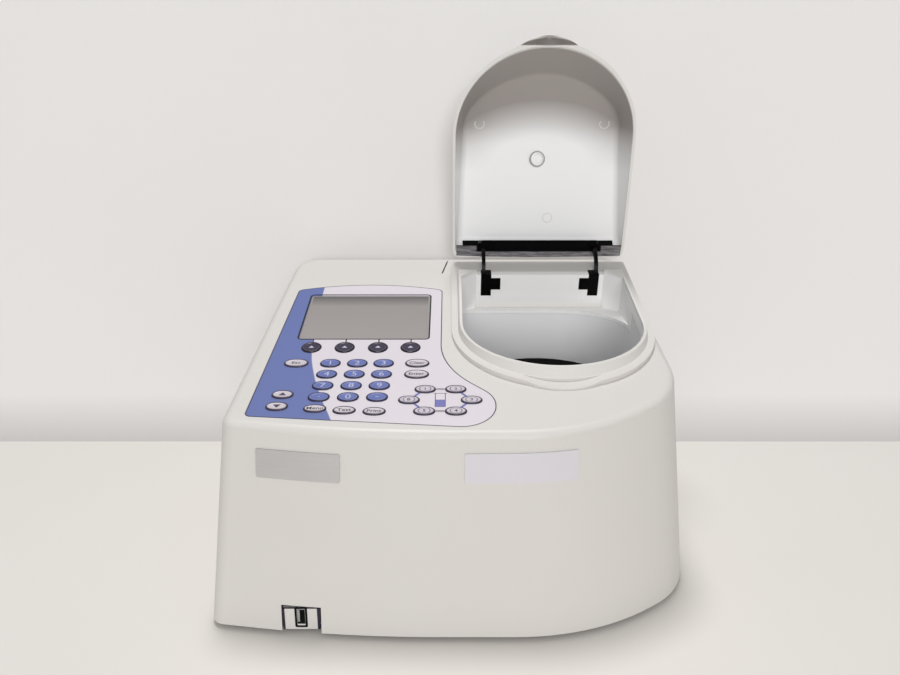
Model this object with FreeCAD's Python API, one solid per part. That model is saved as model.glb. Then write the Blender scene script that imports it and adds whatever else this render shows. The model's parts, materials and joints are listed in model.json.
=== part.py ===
import FreeCAD, Part
import math
import os

# Bench spectrophotometer with a sloping deck, a keypad and an arched sample lid.
# Millimetres, +Z up, front towards -Y, origin on the table under the middle of the base.

# Housing
body_width = 402.5
body_depth = 341.0
wall_draft = 6.0
wall_lean = -0.25
front_tilt = 0.8
rear_draft = 2.2
front_left_round = 13.0
rear_round = 27.0
cover_base_z = 4.0
shoulder_z = 174.0
cover_wall = 3.0
deck_angle = 12.3
deck_front_y = -149.7
deck_front_z = 170.3
rear_top_angle = 11.0
rear_fold_y = 92.3
rear_fold_radius = 400.0
edge_round = 7.0
inner_chamfer = 5.0
fit_gap = 0.4
face_gap = 0.2

# Sample lid, measured along the rim plane
lid_half_width = 90.0
lid_length = 216.0
lid_wall = 2.6
lid_centre_x = 86.0
lid_front_v = 61.2
lid_rear_height = 18.0
lid_rear_run = 14.0
lid_roof_run = 124.0
lid_visor_run = 184.0
lid_visor_height = 28.0
lid_side_draft = 12.0
lid_tip_draft = 48.8
lid_edge_round = 9.0
lid_lip_width = 56.0
lid_lip_reach = 5.0
lid_lip_height = 7.0
scoop_sphere = 40.0
scoop_depth = 2.4
lid_seat_gap = 0.3
lid_open_angle = 92.4
boss_run = 97.0
boss_radius = 7.3
boss_bore = 5.2
boss_height = 3.0

# Collar round the sample opening
collar_height = 4.0
collar_margin = 1.2
trap_height = 6.0
trap_inset = 4.4
trap_front_inset = 6.6
trap_lean = 1.8
trap_front_lean = 7.4
opening_inset = 8.6
opening_front_inset = 17.6
back_wall_run = 14.7
back_wall_depth = 32.0
back_wall = 2.8
platform_rear_run = 17.0
corner_chamfer = 16.0
shelf_thickness = 3.0
recess_half_width = 34.0
recess_depth = 2.8
recess_lip_reach = 5.0

# Hinge: curved arms that slide in guide blocks, all round one axis on the deck plane
hinge_rear_run = 10.3
arm_radius = 21.0
arm_depth = 4.0
arm_width = 3.8
arm_offset = 58.0
arm_root_angle = 160.0
arm_end_angle = 320.0
guide_gap = 0.5
guide_width = 10.3
guide_outboard = 2.6
guide_depth = 11.5
guide_top = 4.0
guide_bottom = -20.0
guide_leg_reach = 9.6
guide_leg_top = 0.0
guide_leg_bottom = -13.0
bar_thickness = 1.8
bar_margin = 8.0

# Sample well and cell carousel
well_half_width = 82.0
well_front_y = -74.0
well_rear_y = 102.3
well_wall = 2.4
well_floor_z = 98.0
well_shelf_z = 190.0
well_corner = 62.0
well_left_corner = 10.0
carousel_x = 80.0
carousel_y = 5.5
carousel_radius = 70.0
carousel_top_z = 150.0
carousel_plate = 4.0
cell_count = 6
cell_ring = 40.0
cell_size = 12.8
cell_wall = 1.8
cell_depth = 40.0
hub_radius = 12.0
shaft_radius = 2.5
shaft_gap = 0.05
spindle_depth = 12.0
motor_size = 42.0
motor_height = 38.0
beam_z = 118.0
beam_radius = 5.0

# Keypad and display, in the deck plane: u across, v up the slope from its front edge
overlay_thickness = 1.0
overlay_ledge = 3.0
window_u = -84.5
window_v = 181.8
window_width = 116.4
window_height = 85.4
window_corner = 3.0
window_thickness = 1.2
window_border = 2.6
key_gap = 0.3
key_travel = 0.8
key_rise = 1.1
key_flange = 0.9
key_flange_margin = 1.6
soft_key = 17.4
oval_key = (18.1, 13.0)
wide_key = (21.6, 13.0)
cell_key = (18.8, 12.4)
board_thickness = 1.6
module_width = 136.0
module_height = 98.0
module_thickness = 9.0

# Front panel details
usb_x = -124.4
usb_width = 29.0
usb_height = 20.5
usb_wall = 1.6
usb_gap = 1.5
usb_setback = 9.6
port_shift = -0.5
port_width = 7.4
port_height = 15.2
port_depth = 14.0
port_wall = 0.5
badge_x = -122.8
badge_z = 142.0
badge_width = 65.3
badge_height = 22.8
badge_turn = 1.4
label_x = 47.8
label_z = 143.3
label_width = 86.8
label_height = 23.4
label_turn = -0.6
plate_thickness = 0.8

# Base
pan_thickness = 2.5
pan_flange = 12.0
foot_radius = 10.0
foot_height = 4.6
foot_inset = 34.0
foot_chamfer = 1.0
screw_radius = 2.0
screw_head = 3.8
screw_head_height = 2.2
screw_length = 14.0
screw_boss = 5.0
screw_boss_height = 46.0

# Rear panel
inlet_x = -118.0
inlet_z = 46.0
inlet_width = 30.0
inlet_height = 66.0
inlet_depth = 24.0
inlet_flange = 3.0
inlet_flange_thickness = 2.0
socket_width = 24.5
socket_height = 16.8
socket_depth = 17.0
rocker_width = 13.0
rocker_height = 19.0
rocker_tilt = 8.0
rocker_depth = 5.0
rocker_gap = 0.5
rocker_sink = 1.6
data_port_x = -60.0
data_port_z = 40.0
data_port_size = 12.4
vent_count = 9
vent_pitch = 9.0
vent_width = 3.2
vent_height = 46.0
vent_x = 88.0
vent_z = 60.0
slit_width = 1.6
slit_length = 34.0
slit_x = -12.0
slit_v = 292.0
slit_turn = 10.0

# Optics and electronics
bench_z = 62.0
bench_thickness = 6.0
bench_left = -160.0
bench_right = -14.0
bench_front = -90.0
bench_rear_gap = 32.5
board_front_gap = 22.5
board_depth = 48.0
board_left = -98.0
board_width = 118.0
post_radius = 6.0

os.makedirs("parts", exist_ok=True)

alpha = math.radians(deck_angle)
half_width = body_width / 2
half_depth = body_depth / 2
pan_z = foot_height
pan_top = pan_z + pan_thickness
lid_rear_v = lid_front_v + lid_length
lid_centre_v = lid_front_v + lid_half_width
rim_w = collar_height + lid_seat_gap
hinge_v = lid_rear_v + hinge_rear_run
back_wall_v = lid_rear_v - back_wall_run
platform_rear_v = lid_rear_v + platform_rear_run
beam_y = carousel_y + cell_ring
bench_rear = half_depth - bench_rear_gap

# Housing outline at the base: x, y and corner radius; the rear corners lie beyond the rear wall
outline_rows = [
    (-half_width + 0.8, -half_depth + 17.2, 0.0),
    (-half_width + 113.0, -half_depth, 950.0),
    (half_width - 94.0, -half_depth, 195.0),
    (half_width + 1.4, -half_depth + 67.8, 88.0),
    (half_width - 1.1, half_depth + 60.0, 0.0),
    (-half_width + 9.3, half_depth + 60.0, 0.0),
]


def vec(x, y, z=0.0):
    return FreeCAD.Vector(x, y, z)


def inset_points(points, inset):
    """Moves every side of an anticlockwise outline inwards by the same distance."""
    count = len(points)
    moved = []
    for i in range(count):
        before, here, after = points[i - 1], points[i], points[(i + 1) % count]
        a = vec(here[0] - before[0], here[1] - before[1]).normalize()
        b = vec(after[0] - here[0], after[1] - here[1]).normalize()
        turn = a.x * b.y - a.y * b.x
        na = vec(-a.y, a.x)
        nb = vec(-b.y, b.x)
        shift = (na + nb) * (inset / (1 + na.dot(nb)))
        grow = -inset if turn > 0 else inset
        radius = max(here[2] + grow, 0.0) if here[2] else 0.0
        moved.append((here[0] + shift.x, here[1] + shift.y, radius))
    return moved


def rounded_wire(points, z=0.0):
    """Closed wire through corner points, each corner rounded to its own radius."""
    count = len(points)
    edges = []
    ends = []
    for i in range(count):
        here = vec(points[i][0], points[i][1], z)
        a = (vec(points[i - 1][0], points[i - 1][1], z) - here).normalize()
        after = points[(i + 1) % count]
        b = (vec(after[0], after[1], z) - here).normalize()
        radius = points[i][2]
        if radius <= 0:
            ends.append((here, here))
            continue
        half = math.acos(max(-1.0, min(1.0, a.dot(b)))) / 2
        reach = radius / math.tan(half)
        start = here + a * reach
        end = here + b * reach
        middle = here + (a + b).normalize() * (radius / math.sin(half) - radius)
        edges.append((i, Part.Arc(start, middle, end).toShape()))
        ends.append((start, end))
    ordered = []
    arcs = dict(edges)
    for i in range(count):
        if i in arcs:
            ordered.append(arcs[i])
        start = ends[i][1]
        end = ends[(i + 1) % count][0]
        if start.distanceToPoint(end) > 1e-6:
            ordered.append(Part.LineSegment(start, end).toShape())
    return Part.Wire(ordered)


def prism(points, low, high):
    """Upright solid on a rounded outline."""
    return Part.Face(rounded_wire(points, low)).extrude(vec(0, 0, high - low))


def box(x0, x1, y0, y1, z0, z1):
    return Part.makeBox(x1 - x0, y1 - y0, z1 - z0, vec(x0, y0, z0))


def centred_box(x, y, wide, deep, z0, z1):
    return box(x - wide / 2, x + wide / 2, y - deep / 2, y + deep / 2, z0, z1)


def cylinder(x, y, radius, z0, z1):
    return Part.makeCylinder(radius, z1 - z0, vec(x, y, z0))


def rounded_box(x, y, wide, deep, corner, z0, z1):
    w, d = wide / 2, deep / 2
    return prism([(x - w, y - d, corner), (x + w, y - d, corner),
                  (x + w, y + d, corner), (x - w, y + d, corner)], z0, z1)


def stadium(x, y, size, z0, z1):
    """Key outline with round ends, as wide and deep as given."""
    wide, deep = size
    if wide - deep < 0.01:
        return cylinder(x, y, deep / 2, z0, z1)
    return rounded_box(x, y, wide, deep, deep / 2 - 0.001, z0, z1)


def on_deck(shape):
    """Turns a shape drawn flat (u, v, height) onto the sloping deck."""
    placed = shape.copy()
    placed.rotate(vec(0, 0), vec(1, 0), deck_angle)
    placed.translate(vec(0, deck_front_y, deck_front_z))
    return placed


def deck_point(u, v, w=0.0):
    return vec(u, deck_front_y + v * math.cos(alpha) - w * math.sin(alpha),
               deck_front_z + v * math.sin(alpha) + w * math.cos(alpha))


def save(name, shape):
    shape.exportStep("parts/" + name + ".step")


# Top cover

def flat_faces(form):
    """Rebuilds a ruled form so that its straight-sided faces are true planes."""
    faces = []
    for face in form.Faces:
        if face.Surface.TypeId == "Part::GeomBSplineSurface":
            corners = [vertex.Point for vertex in face.OuterWire.OrderedVertexes]
            face = Part.Face(Part.makePolygon(corners + corners[:1]))
        faces.append(face)
    shell = Part.makeShell(faces)
    shell.sewShape()
    return Part.makeSolid(shell)


def upright_edges(form, left_limit, front_limit, rear_limit):
    """Upright edges beyond the given limits."""
    found = []
    for edge in form.Edges:
        middle = edge.valueAt((edge.FirstParameter + edge.LastParameter) / 2)
        upright = abs(edge.tangentAt(edge.FirstParameter).z) > 0.9
        if upright and (middle.y > rear_limit or (middle.x < left_limit and middle.y < front_limit)):
            found.append(edge)
    return found


def walls(inset=0.0):
    """Tall drafted form of the housing, with its upright corners rounded."""
    low, high = -20.0, 260.0
    draft = math.tan(math.radians(wall_draft))
    wires = [rounded_wire(inset_points(outline_rows, inset + (z - cover_base_z) * draft), z) for z in (low, high)]
    form = flat_faces(Part.makeLoft(wires, True, True))
    form.rotate(vec(0, 0, cover_base_z), vec(0, 1, 0), wall_lean)
    form.rotate(vec(0, -half_depth, cover_base_z), vec(1, 0, 0), -front_tilt)
    back = box(-body_width, body_width, half_depth - inset, half_depth + 200, -100, 400)
    back.rotate(vec(0, half_depth - inset, cover_base_z), vec(1, 0, 0), rear_draft)
    form = form.cut(back)
    form = form.makeFillet(rear_round - inset, upright_edges(form, -body_width, -body_depth, half_depth - 40))
    corner = upright_edges(form, -half_width + 60, -half_depth + 60, body_depth)
    corner = [min(corner, key=lambda edge: edge.CenterOfMass.x)]
    return form.makeFillet(front_left_round - inset, corner)


def slab(form, low, high):
    """Part of a form between two heights."""
    return form.common(box(-body_width, body_width, -body_depth, body_depth, low, high))


def top_height(y):
    """Height of the deck and of the flatter strip behind it."""
    if y < rear_fold_y:
        return deck_front_z + (y - deck_front_y) * math.tan(alpha)
    return top_height(rear_fold_y - 1e-9) + (y - rear_fold_y) * math.tan(math.radians(rear_top_angle))


def side_profile(drop):
    """Solid under the top surface, wider than the housing, with its fold rounded."""
    reach = half_depth + 60
    points = [(-reach, -60.0), (reach, -60.0), (reach, top_height(reach) - drop),
              (rear_fold_y, top_height(rear_fold_y) - drop), (-reach, top_height(-reach) - drop)]
    rows = [(y, z, rear_fold_radius if y == rear_fold_y else 0.0) for y, z in points]
    wire = rounded_wire(rows)
    wire.rotate(vec(0, 0), vec(1, 1, 1), 120)
    side = body_width
    wire.translate(vec(-side, 0))
    return Part.Face(wire).extrude(vec(2 * side, 0, 0))


def shoulder_edges(form, drop):
    """Edges round the top surface, leaving out the straight ones across it at the fold."""
    found = []
    for edge in form.Edges:
        reach = edge.LastParameter - edge.FirstParameter
        samples = [edge.valueAt(edge.FirstParameter + f * reach) for f in (0.05, 0.5, 0.95)]
        on_top = all(abs(p.z + drop - top_height(p.y)) < 0.4 for p in samples)
        across = abs(samples[2].x - samples[0].x) > half_width
        fold = across and abs(samples[1].y - rear_fold_y) < 25
        if on_top and not fold:
            found.append(edge)
    return found


def housing():
    """Outer form: drafted walls under the sloping top, with a rounded shoulder all round."""
    form = slab(walls(), cover_base_z, shoulder_z + 100).common(side_profile(0.0))
    return form.makeFillet(edge_round, shoulder_edges(form, 0.0))


def cavity(gap=0.0):
    """Inner form, open below, with its shoulder cut off at a slant."""
    drop = (cover_wall + gap) / math.cos(alpha)
    form = slab(walls(cover_wall + gap), cover_base_z - 5, shoulder_z + 100).common(side_profile(drop))
    return form.makeChamfer(inner_chamfer, shoulder_edges(form, drop))


def arch_wire(centre_v, half, tip, rear_v, w):
    """Arched outline: straight rear and sides, half ellipse at the front."""
    left = vec(lid_centre_x - half, centre_v, w)
    right = vec(lid_centre_x + half, centre_v, w)
    if half >= tip:
        ellipse = Part.Ellipse(vec(lid_centre_x, centre_v, w), half, tip)
        front = Part.ArcOfEllipse(ellipse, math.pi, 2 * math.pi).toShape()
    else:
        ellipse = Part.Ellipse(vec(lid_centre_x, centre_v - tip, w), right, vec(lid_centre_x, centre_v, w))
        front = Part.ArcOfEllipse(ellipse, -math.pi / 2, math.pi / 2).toShape()
    rear_right = vec(right.x, rear_v, w)
    rear_left = vec(left.x, rear_v, w)
    sides = [Part.LineSegment(right, rear_right).toShape(),
             Part.LineSegment(rear_right, rear_left).toShape(),
             Part.LineSegment(rear_left, left).toShape()]
    return Part.Wire(Part.__sortEdges__([front] + sides))


def arch_prism(half, tip, rear_v, low, high):
    wire = arch_wire(lid_centre_v, half, tip, rear_v, low)
    return Part.Face(wire).extrude(vec(0, 0, high - low))


def opening_points(grow=0.0):
    """Rear part of the sample opening: straight sides with chamfered rear corners."""
    half = lid_half_width - opening_inset + grow
    rear = back_wall_v + grow
    left, right = lid_centre_x - half, lid_centre_x + half
    cut = corner_chamfer
    return [(left, lid_centre_v, 0.0), (right, lid_centre_v, 0.0), (right, rear - cut, 0.0),
            (right - cut, rear, 0.0), (left + cut, rear, 0.0), (left, rear - cut, 0.0)]


def opening_form(low, high, grow=0.0):
    """Everything inside the collar's opening, drawn flat."""
    half = lid_half_width - opening_inset + grow
    tip = lid_half_width - opening_front_inset + grow
    front = arch_prism(half, tip, lid_centre_v + 1.0, low, high)
    return front.fuse(prism(opening_points(grow), low, high))


def overlay_points(inset=0.0):
    """Keypad overlay: slanted left edge, arched rear edge and a bulb that curls round the collar."""
    points = [(-165.8, 21.0, 5.0), (29.8, 5.0, 28.0), (29.8, 48.5, 28.0), (-14.2, 92.5, 87.0),
              (-14.2, 236.0, 7.0), (-86.7, 256.0, 233.0), (-157.6, 235.8, 6.0)]
    return inset_points(points, inset)


def well_points(grow=0.0):
    """Sample well from above: round front, large rear right corner."""
    half = well_half_width + grow
    left, right = lid_centre_x - half, lid_centre_x + half
    front = well_front_y - grow
    corner = half - 0.01
    return [(left, front, corner), (right, front, corner), (right, well_rear_y + grow, well_corner + grow),
            (left, well_rear_y + grow, well_left_corner + grow)]


def guide_profile(side, grow):
    """Front face of one guide block: an upright with a leg towards the middle."""
    middle = lid_centre_x + side * arm_offset
    outer = middle + side * (guide_outboard + grow)
    inner = middle - side * (guide_width - guide_outboard + grow)
    leg = inner - side * guide_leg_reach
    rows = [(outer, guide_bottom - grow), (inner, guide_bottom - grow), (inner, guide_leg_bottom - grow),
            (leg, guide_leg_bottom - grow), (leg, guide_leg_top + grow), (inner, guide_leg_top + grow),
            (inner, guide_top + grow), (outer, guide_top + grow)]
    return rows


def guide_solid(side, grow=0.0):
    rows = guide_profile(side, grow)
    corners = [vec(u, back_wall_v - grow, w) for u, w in rows]
    face = Part.Face(Part.makePolygon(corners + corners[:1]))
    return face.extrude(vec(0, guide_depth + 2 * grow, 0))


def arm_sector(side, inner, outer, wide, start, end):
    """Part of a ring round the hinge axis, drawn flat."""
    ring = Part.makeCylinder(outer, wide, vec(0, 0), vec(0, 0, 1), end - start)
    ring = ring.cut(Part.makeCylinder(inner, wide))
    ring.rotate(vec(0, 0), vec(0, 0, 1), start)
    ring.rotate(vec(0, 0), vec(1, 1, 1), 120)
    ring.translate(vec(lid_centre_x + side * arm_offset - wide / 2, hinge_v))
    return ring


def vent_slots():
    """Upright rear slots, cut straight through the rear wall."""
    cutters = []
    for i in range(vent_count):
        x = vent_x + (i - (vent_count - 1) / 2) * vent_pitch
        cutters.append(box(x - vent_width / 2, x + vent_width / 2, half_depth - 20, half_depth + 5,
                           vent_z, vent_z + vent_height))
    return cutters


neck_front_y = deck_point(0, back_wall_v - corner_chamfer - 6).y
shelf_front_y = well_rear_y - well_corner
screw_places = [(-half_width + 30, -half_depth + 44), (half_width - 62, -half_depth + 58),
                (half_width - 24, half_depth - 30), (-half_width + 24, half_depth - 24)]
foot_places = [(-half_width + foot_inset + 14, -half_depth + foot_inset),
               (half_width - foot_inset - 40, -half_depth + foot_inset + 8),
               (half_width - foot_inset - 14, half_depth - foot_inset),
               (-half_width + foot_inset + 10, half_depth - foot_inset)]


def rear_y(z):
    """Rear wall's outer face at one height."""
    return half_depth - (z - cover_base_z) * math.tan(math.radians(rear_draft))


def front_lip(half_chord, reach, low, high):
    """Shallow round lip at the lid's front: half_chord each side, reaching forward by reach."""
    rise = reach + lid_half_width - math.sqrt(lid_half_width ** 2 - half_chord ** 2)
    radius = (half_chord ** 2 + rise ** 2) / (2 * rise)
    disc = Part.makeCylinder(radius, high - low, vec(lid_centre_x, lid_front_v - reach + radius, low))
    return disc.common(box(lid_centre_x - half_chord - 6, lid_centre_x + half_chord + 6,
                           lid_front_v - reach - 1, lid_front_v + 20, low - 1, high + 1))


def main_cover():
    outer = housing()
    inner = cavity()

    # Collar platform with its light trap rim, both above the deck
    platform = arch_prism(lid_half_width + collar_margin, lid_half_width + collar_margin,
                          platform_rear_v, -cover_wall, collar_height)
    trap_half = lid_half_width - trap_inset
    trap_tip = lid_half_width - trap_front_inset
    trap_top = collar_height + trap_height
    trap = Part.makeLoft([
        arch_wire(lid_centre_v, trap_half, trap_tip, back_wall_v, collar_height - 1),
        arch_wire(lid_centre_v, trap_half - trap_lean, trap_tip - trap_front_lean, back_wall_v, trap_top),
    ], True, True)
    trap_foot = arch_prism(trap_half, trap_tip, back_wall_v, -cover_wall / 2, collar_height)
    lip = front_lip(recess_half_width, recess_lip_reach, -cover_wall / 2, collar_height)
    recess_radius = (recess_half_width ** 2 + recess_depth ** 2) / (2 * recess_depth)
    recess = Part.makeSphere(recess_radius, vec(lid_centre_x, lid_front_v + recess_lip_reach,
                                                collar_height + recess_radius - recess_depth))

    raised = on_deck(platform.fuse(lip).cut(recess))
    shell = outer.cut(inner).fuse([raised])
    shell = shell.fuse([on_deck(trap_foot), on_deck(trap), back_walls()])

    # Bosses for the pan screws, merged with the leaning walls
    for x, y in screw_places:
        boss = cylinder(x, y, screw_boss, pan_top + face_gap, screw_boss_height)
        rib = box(min(x, math.copysign(half_width, x)), max(x, math.copysign(half_width, x)),
                  y - 1.2, y + 1.2, pan_top + face_gap, screw_boss_height)
        rib = rib.common(outer)
        shell = shell.fuse([boss.fuse(rib).common(outer)])
        shell = shell.cut(cylinder(x, y, screw_radius + 0.05, pan_z, pan_top + screw_length + 1))

    # Openings: well, keypad ledge and hole, guide blocks, front notch, rear cut-outs
    cutters = [on_deck(opening_form(-back_wall_depth - 30, trap_top + 1)),
               on_deck(prism(overlay_points(-face_gap), -overlay_thickness, 3.0)),
               on_deck(prism(overlay_points(overlay_ledge), -cover_wall - 4, 3.0)),
               on_deck(guide_solid(-1, face_gap)),
               on_deck(guide_solid(1, face_gap))]
    notch_half = usb_width / 2 + usb_gap
    cutters.append(box(usb_x - notch_half, usb_x + notch_half, -half_depth - 5, -half_depth + 30,
                       0, cover_base_z + usb_height + usb_gap))
    inlet_hole = centred_box(inlet_x, half_depth - 5, inlet_width + 2 * face_gap, 30,
                             inlet_z - inlet_height / 2 - face_gap, inlet_z + inlet_height / 2 + face_gap)
    cutters.append(inlet_hole)
    port_half = data_port_size / 2 + face_gap
    cutters.append(box(data_port_x - port_half, data_port_x + port_half, half_depth - 20, half_depth + 5,
                       data_port_z - port_half, data_port_z + port_half))
    slit = centred_box(0, 0, slit_width, slit_length, -cover_wall - 4, 8)
    slit.rotate(vec(0, 0), vec(0, 0, 1), -slit_turn)
    slit.translate(vec(slit_x, slit_v))
    cutters.append(on_deck(slit))
    cutters += vent_slots()
    for cutter in cutters:
        shell = shell.cut(cutter)
    return keep_largest(shell.fuse([well_shelf()]))


def keep_largest(shape):
    """One solid: slivers left outside by the cuts are dropped."""
    return max(shape.Solids, key=lambda solid: solid.Volume)


def clear_of_well(shape, gap):
    """Cuts away what lies in front of the white walls, left and right of the centre line."""
    shape = shape.cut(box(-half_width, lid_centre_x, -half_depth, neck_front_y + gap, 0, body_depth))
    return shape.cut(box(lid_centre_x, half_width, -half_depth, shelf_front_y + gap, 0, body_depth))


def back_walls():
    """White back wall of the compartment with its slanted corners, down to the shelf."""
    walls_form = on_deck(prism(opening_points(back_wall), -back_wall_depth - 12, -cover_wall / 2))
    walls_form = walls_form.cut(box(-half_width, half_width, -half_depth, half_depth, 0, well_shelf_z))
    return clear_of_well(walls_form, 0.0)


def well_shelf():
    """Flat shelf between the back wall and the rounded well, at the back wall's foot."""
    low = well_shelf_z
    area = on_deck(prism(opening_points(back_wall / 2), -70, 20))
    area = area.common(box(-half_width, half_width, 0, half_depth, low, low + shelf_thickness))
    return clear_of_well(area.cut(prism(well_points(0.0), low - 5, low + 10)), 0.0)


def sample_well():
    bottom = well_floor_z - well_wall
    outer = prism(well_points(well_wall), bottom, shoulder_z + 60)
    inner = prism(well_points(0.0), well_floor_z, shoulder_z + 70)
    tub = outer.cut(inner).common(cavity(face_gap))
    high = shoulder_z + 100
    for left, right, front in ((-half_width, lid_centre_x, neck_front_y), (lid_centre_x, half_width, shelf_front_y)):
        tub = tub.cut(box(left, right, front - face_gap, half_depth, well_shelf_z - face_gap, high))
    tub = tub.cut(cylinder(carousel_x, carousel_y, shaft_radius + 2, bottom - 1, well_floor_z + 1))
    beam = Part.makeCylinder(beam_radius, body_width, vec(-half_width, beam_y, beam_z), vec(1, 0, 0))
    return keep_largest(tub.cut(beam))


def hinge_guides():
    blocks = []
    for side in (-1, 1):
        slot = arm_sector(side, arm_radius - arm_depth / 2 - guide_gap, arm_radius + arm_depth / 2 + guide_gap,
                          arm_width + 2 * guide_gap, 90, 270)
        blocks.append(on_deck(guide_solid(side).cut(slot)))
    return Part.makeCompound(blocks)


# Sample lid, built shut on its collar and then swung open

def lid_section(height, inset):
    side = math.tan(math.radians(lid_side_draft))
    tip = math.tan(math.radians(lid_tip_draft))
    half = lid_half_width - inset / math.cos(math.radians(lid_side_draft)) - height * side
    reach = lid_half_width - inset / math.cos(math.radians(lid_tip_draft)) - height * tip
    return arch_wire(lid_centre_v, half, reach, lid_rear_v + 30, rim_w + height)


def lid_profile(inset):
    """Side view of the lid as a solid across it: sloping rear, flat roof and falling visor."""
    roof_slope = math.tan(alpha)
    roof_height = lid_rear_height + (lid_roof_run - lid_rear_run) * roof_slope
    fall = (roof_height - lid_visor_height) / (lid_visor_run - lid_roof_run)
    far = lid_length + 40
    rows = [(-6.0 * lid_rear_run / lid_rear_height, -6.0, 0.0), (far, -6.0, 0.0),
            (far, roof_height - (far - lid_roof_run) * fall, 0.0),
            (lid_roof_run, roof_height, 60.0), (lid_rear_run, lid_rear_height, 8.0)]
    moved = inset_points(rows, inset)
    wire = rounded_wire(moved)
    wire.rotate(vec(0, 0), vec(1, 1, 1), 120)
    solid = Part.Face(wire).extrude(vec(2 * lid_half_width + 20, 0, 0))
    solid = solid.mirror(vec(0, 0), vec(0, 1, 0))
    solid.translate(vec(lid_centre_x - lid_half_width - 10, lid_rear_v, rim_w))
    return solid


def lid_form(inset, round_radius, low):
    top = 46.0
    form = Part.makeLoft([lid_section(low, inset), lid_section(top, inset)], True, True)
    form = form.common(lid_profile(inset))
    form = keep_largest(form)
    crown = []
    for edge in form.Edges:
        samples = [edge.valueAt(edge.FirstParameter + f * (edge.LastParameter - edge.FirstParameter))
                   for f in (0.05, 0.5, 0.95)]
        low_edge = any(p.z < rim_w + low + 0.5 for p in samples)
        across = abs(samples[2].y - samples[0].y) < 0.01 and abs(samples[2].x - samples[0].x) > lid_half_width
        if not low_edge and not across:
            crown.append(edge)
    return form.makeFillet(round_radius, crown)


def sample_lid():
    outer = lid_form(0.0, lid_edge_round, 0.0)
    inner = lid_form(lid_wall, lid_edge_round - lid_wall, -2.0)
    lip = front_lip(lid_lip_width / 2, lid_lip_reach, rim_w, rim_w + lid_lip_height)
    scoop = Part.makeSphere(scoop_sphere, vec(lid_centre_x, lid_front_v - 3, rim_w - scoop_sphere + scoop_depth))
    shell = outer.fuse(lip).cut(inner)
    shell = shell.cut(scoop)
    roof_slope = math.tan(alpha)
    ceiling = lid_rear_height + (boss_run - lid_rear_run) * roof_slope
    place = vec(lid_centre_x - 1.5, lid_rear_v - boss_run, rim_w + ceiling - lid_wall - boss_height)
    ring = Part.makeCylinder(boss_radius, boss_height + 1, place)
    ring = ring.cut(Part.makeCylinder(boss_bore, boss_height + 1, place))
    ring.rotate(place, vec(1, 0, 0), -deck_angle)
    return keep_largest(shell.fuse(ring))


def lid_hinge_bar():
    """Plate on the inside of the lid's sloping rear wall."""
    slope = math.atan2(lid_rear_height, lid_rear_run)
    span = math.hypot(lid_rear_height, lid_rear_run)
    wide = 2 * (lid_half_width - lid_wall - bar_margin)
    start = 4.2
    plate = box(-wide / 2, wide / 2, start, span - 5.0, -lid_wall - face_gap - bar_thickness,
                -lid_wall - face_gap)
    plate.rotate(vec(0, 0), vec(1, 0, 0), math.degrees(slope))
    plate = plate.mirror(vec(0, 0), vec(0, 1, 0))
    plate.translate(vec(lid_centre_x, lid_rear_v, rim_w))
    return plate


def lid_hinge_arms():
    """Curved arms: each ring sector is joined to the bar by a short foot."""
    arms = []
    for side in (-1, 1):
        arm = arm_sector(side, arm_radius - arm_depth / 2, arm_radius + arm_depth / 2, arm_width,
                         arm_root_angle, arm_end_angle)
        x = lid_centre_x + side * arm_offset
        root = math.radians(arm_root_angle)
        root_v = hinge_v + arm_radius * math.cos(root)
        root_w = arm_radius * math.sin(root)
        foot = box(x - arm_width / 2, x + arm_width / 2, root_v - arm_depth / 2, root_v + arm_depth / 2,
                   root_w - 1.0, root_w + 5.5)
        pad = box(x - 5, x + 5, root_v - 5.0, root_v + 3.0, root_w + 1.0, root_w + 12)
        lid_side = half_space_inside_bar()
        arms.append(arm.fuse(foot.fuse(pad).common(lid_side)))
    return Part.makeCompound([arm.Solids[0] for arm in arms])


def half_space_inside_bar():
    """Everything in front of the bar's inner face."""
    slope = math.atan2(lid_rear_height, lid_rear_run)
    depth = lid_wall + face_gap + bar_thickness
    slab = box(-body_width, body_width, -60, 80, -depth - 60, -depth)
    slab.rotate(vec(0, 0), vec(1, 0, 0), math.degrees(slope))
    slab = slab.mirror(vec(0, 0), vec(0, 1, 0))
    slab.translate(vec(0, lid_rear_v, rim_w))
    return slab


def swing_open(shape):
    """Places a lid piece drawn flat, then opens it about the hinge axis."""
    placed = on_deck(shape)
    placed.rotate(deck_point(0, hinge_v), vec(1, 0, 0), -lid_open_angle)
    return placed


# Keys: name, place across and up the deck, outline

soft_row = 124.0
soft_places = [-128.8, -99.5, -70.2, -41.5]
number_rows = [97.8, 80.6, 63.5, 47.1]
number_columns = [-108.7, -85.8, -63.3]
column_lean = [-0.95, -0.8, -0.55]
number_names = [["1", "2", "3"], ["4", "5", "6"], ["7", "8", "9"], ["point", "0", "minus"]]
wide_places = {"escape": (-137.8, 97.8), "clear": (-34.6, 97.8), "enter": (-34.6, 80.6),
               "first": (-112.4, 31.2), "second": (-89.2, 29.0), "third": (-65.7, 27.6)}
arrow_places = {"up": (-141.0, 50.5), "down": (-142.7, 34.1)}
cell_centre = (-14.4, 43.1)
cell_reach = (24.9, 12.4)
cell_half_row = 15.2


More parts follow.
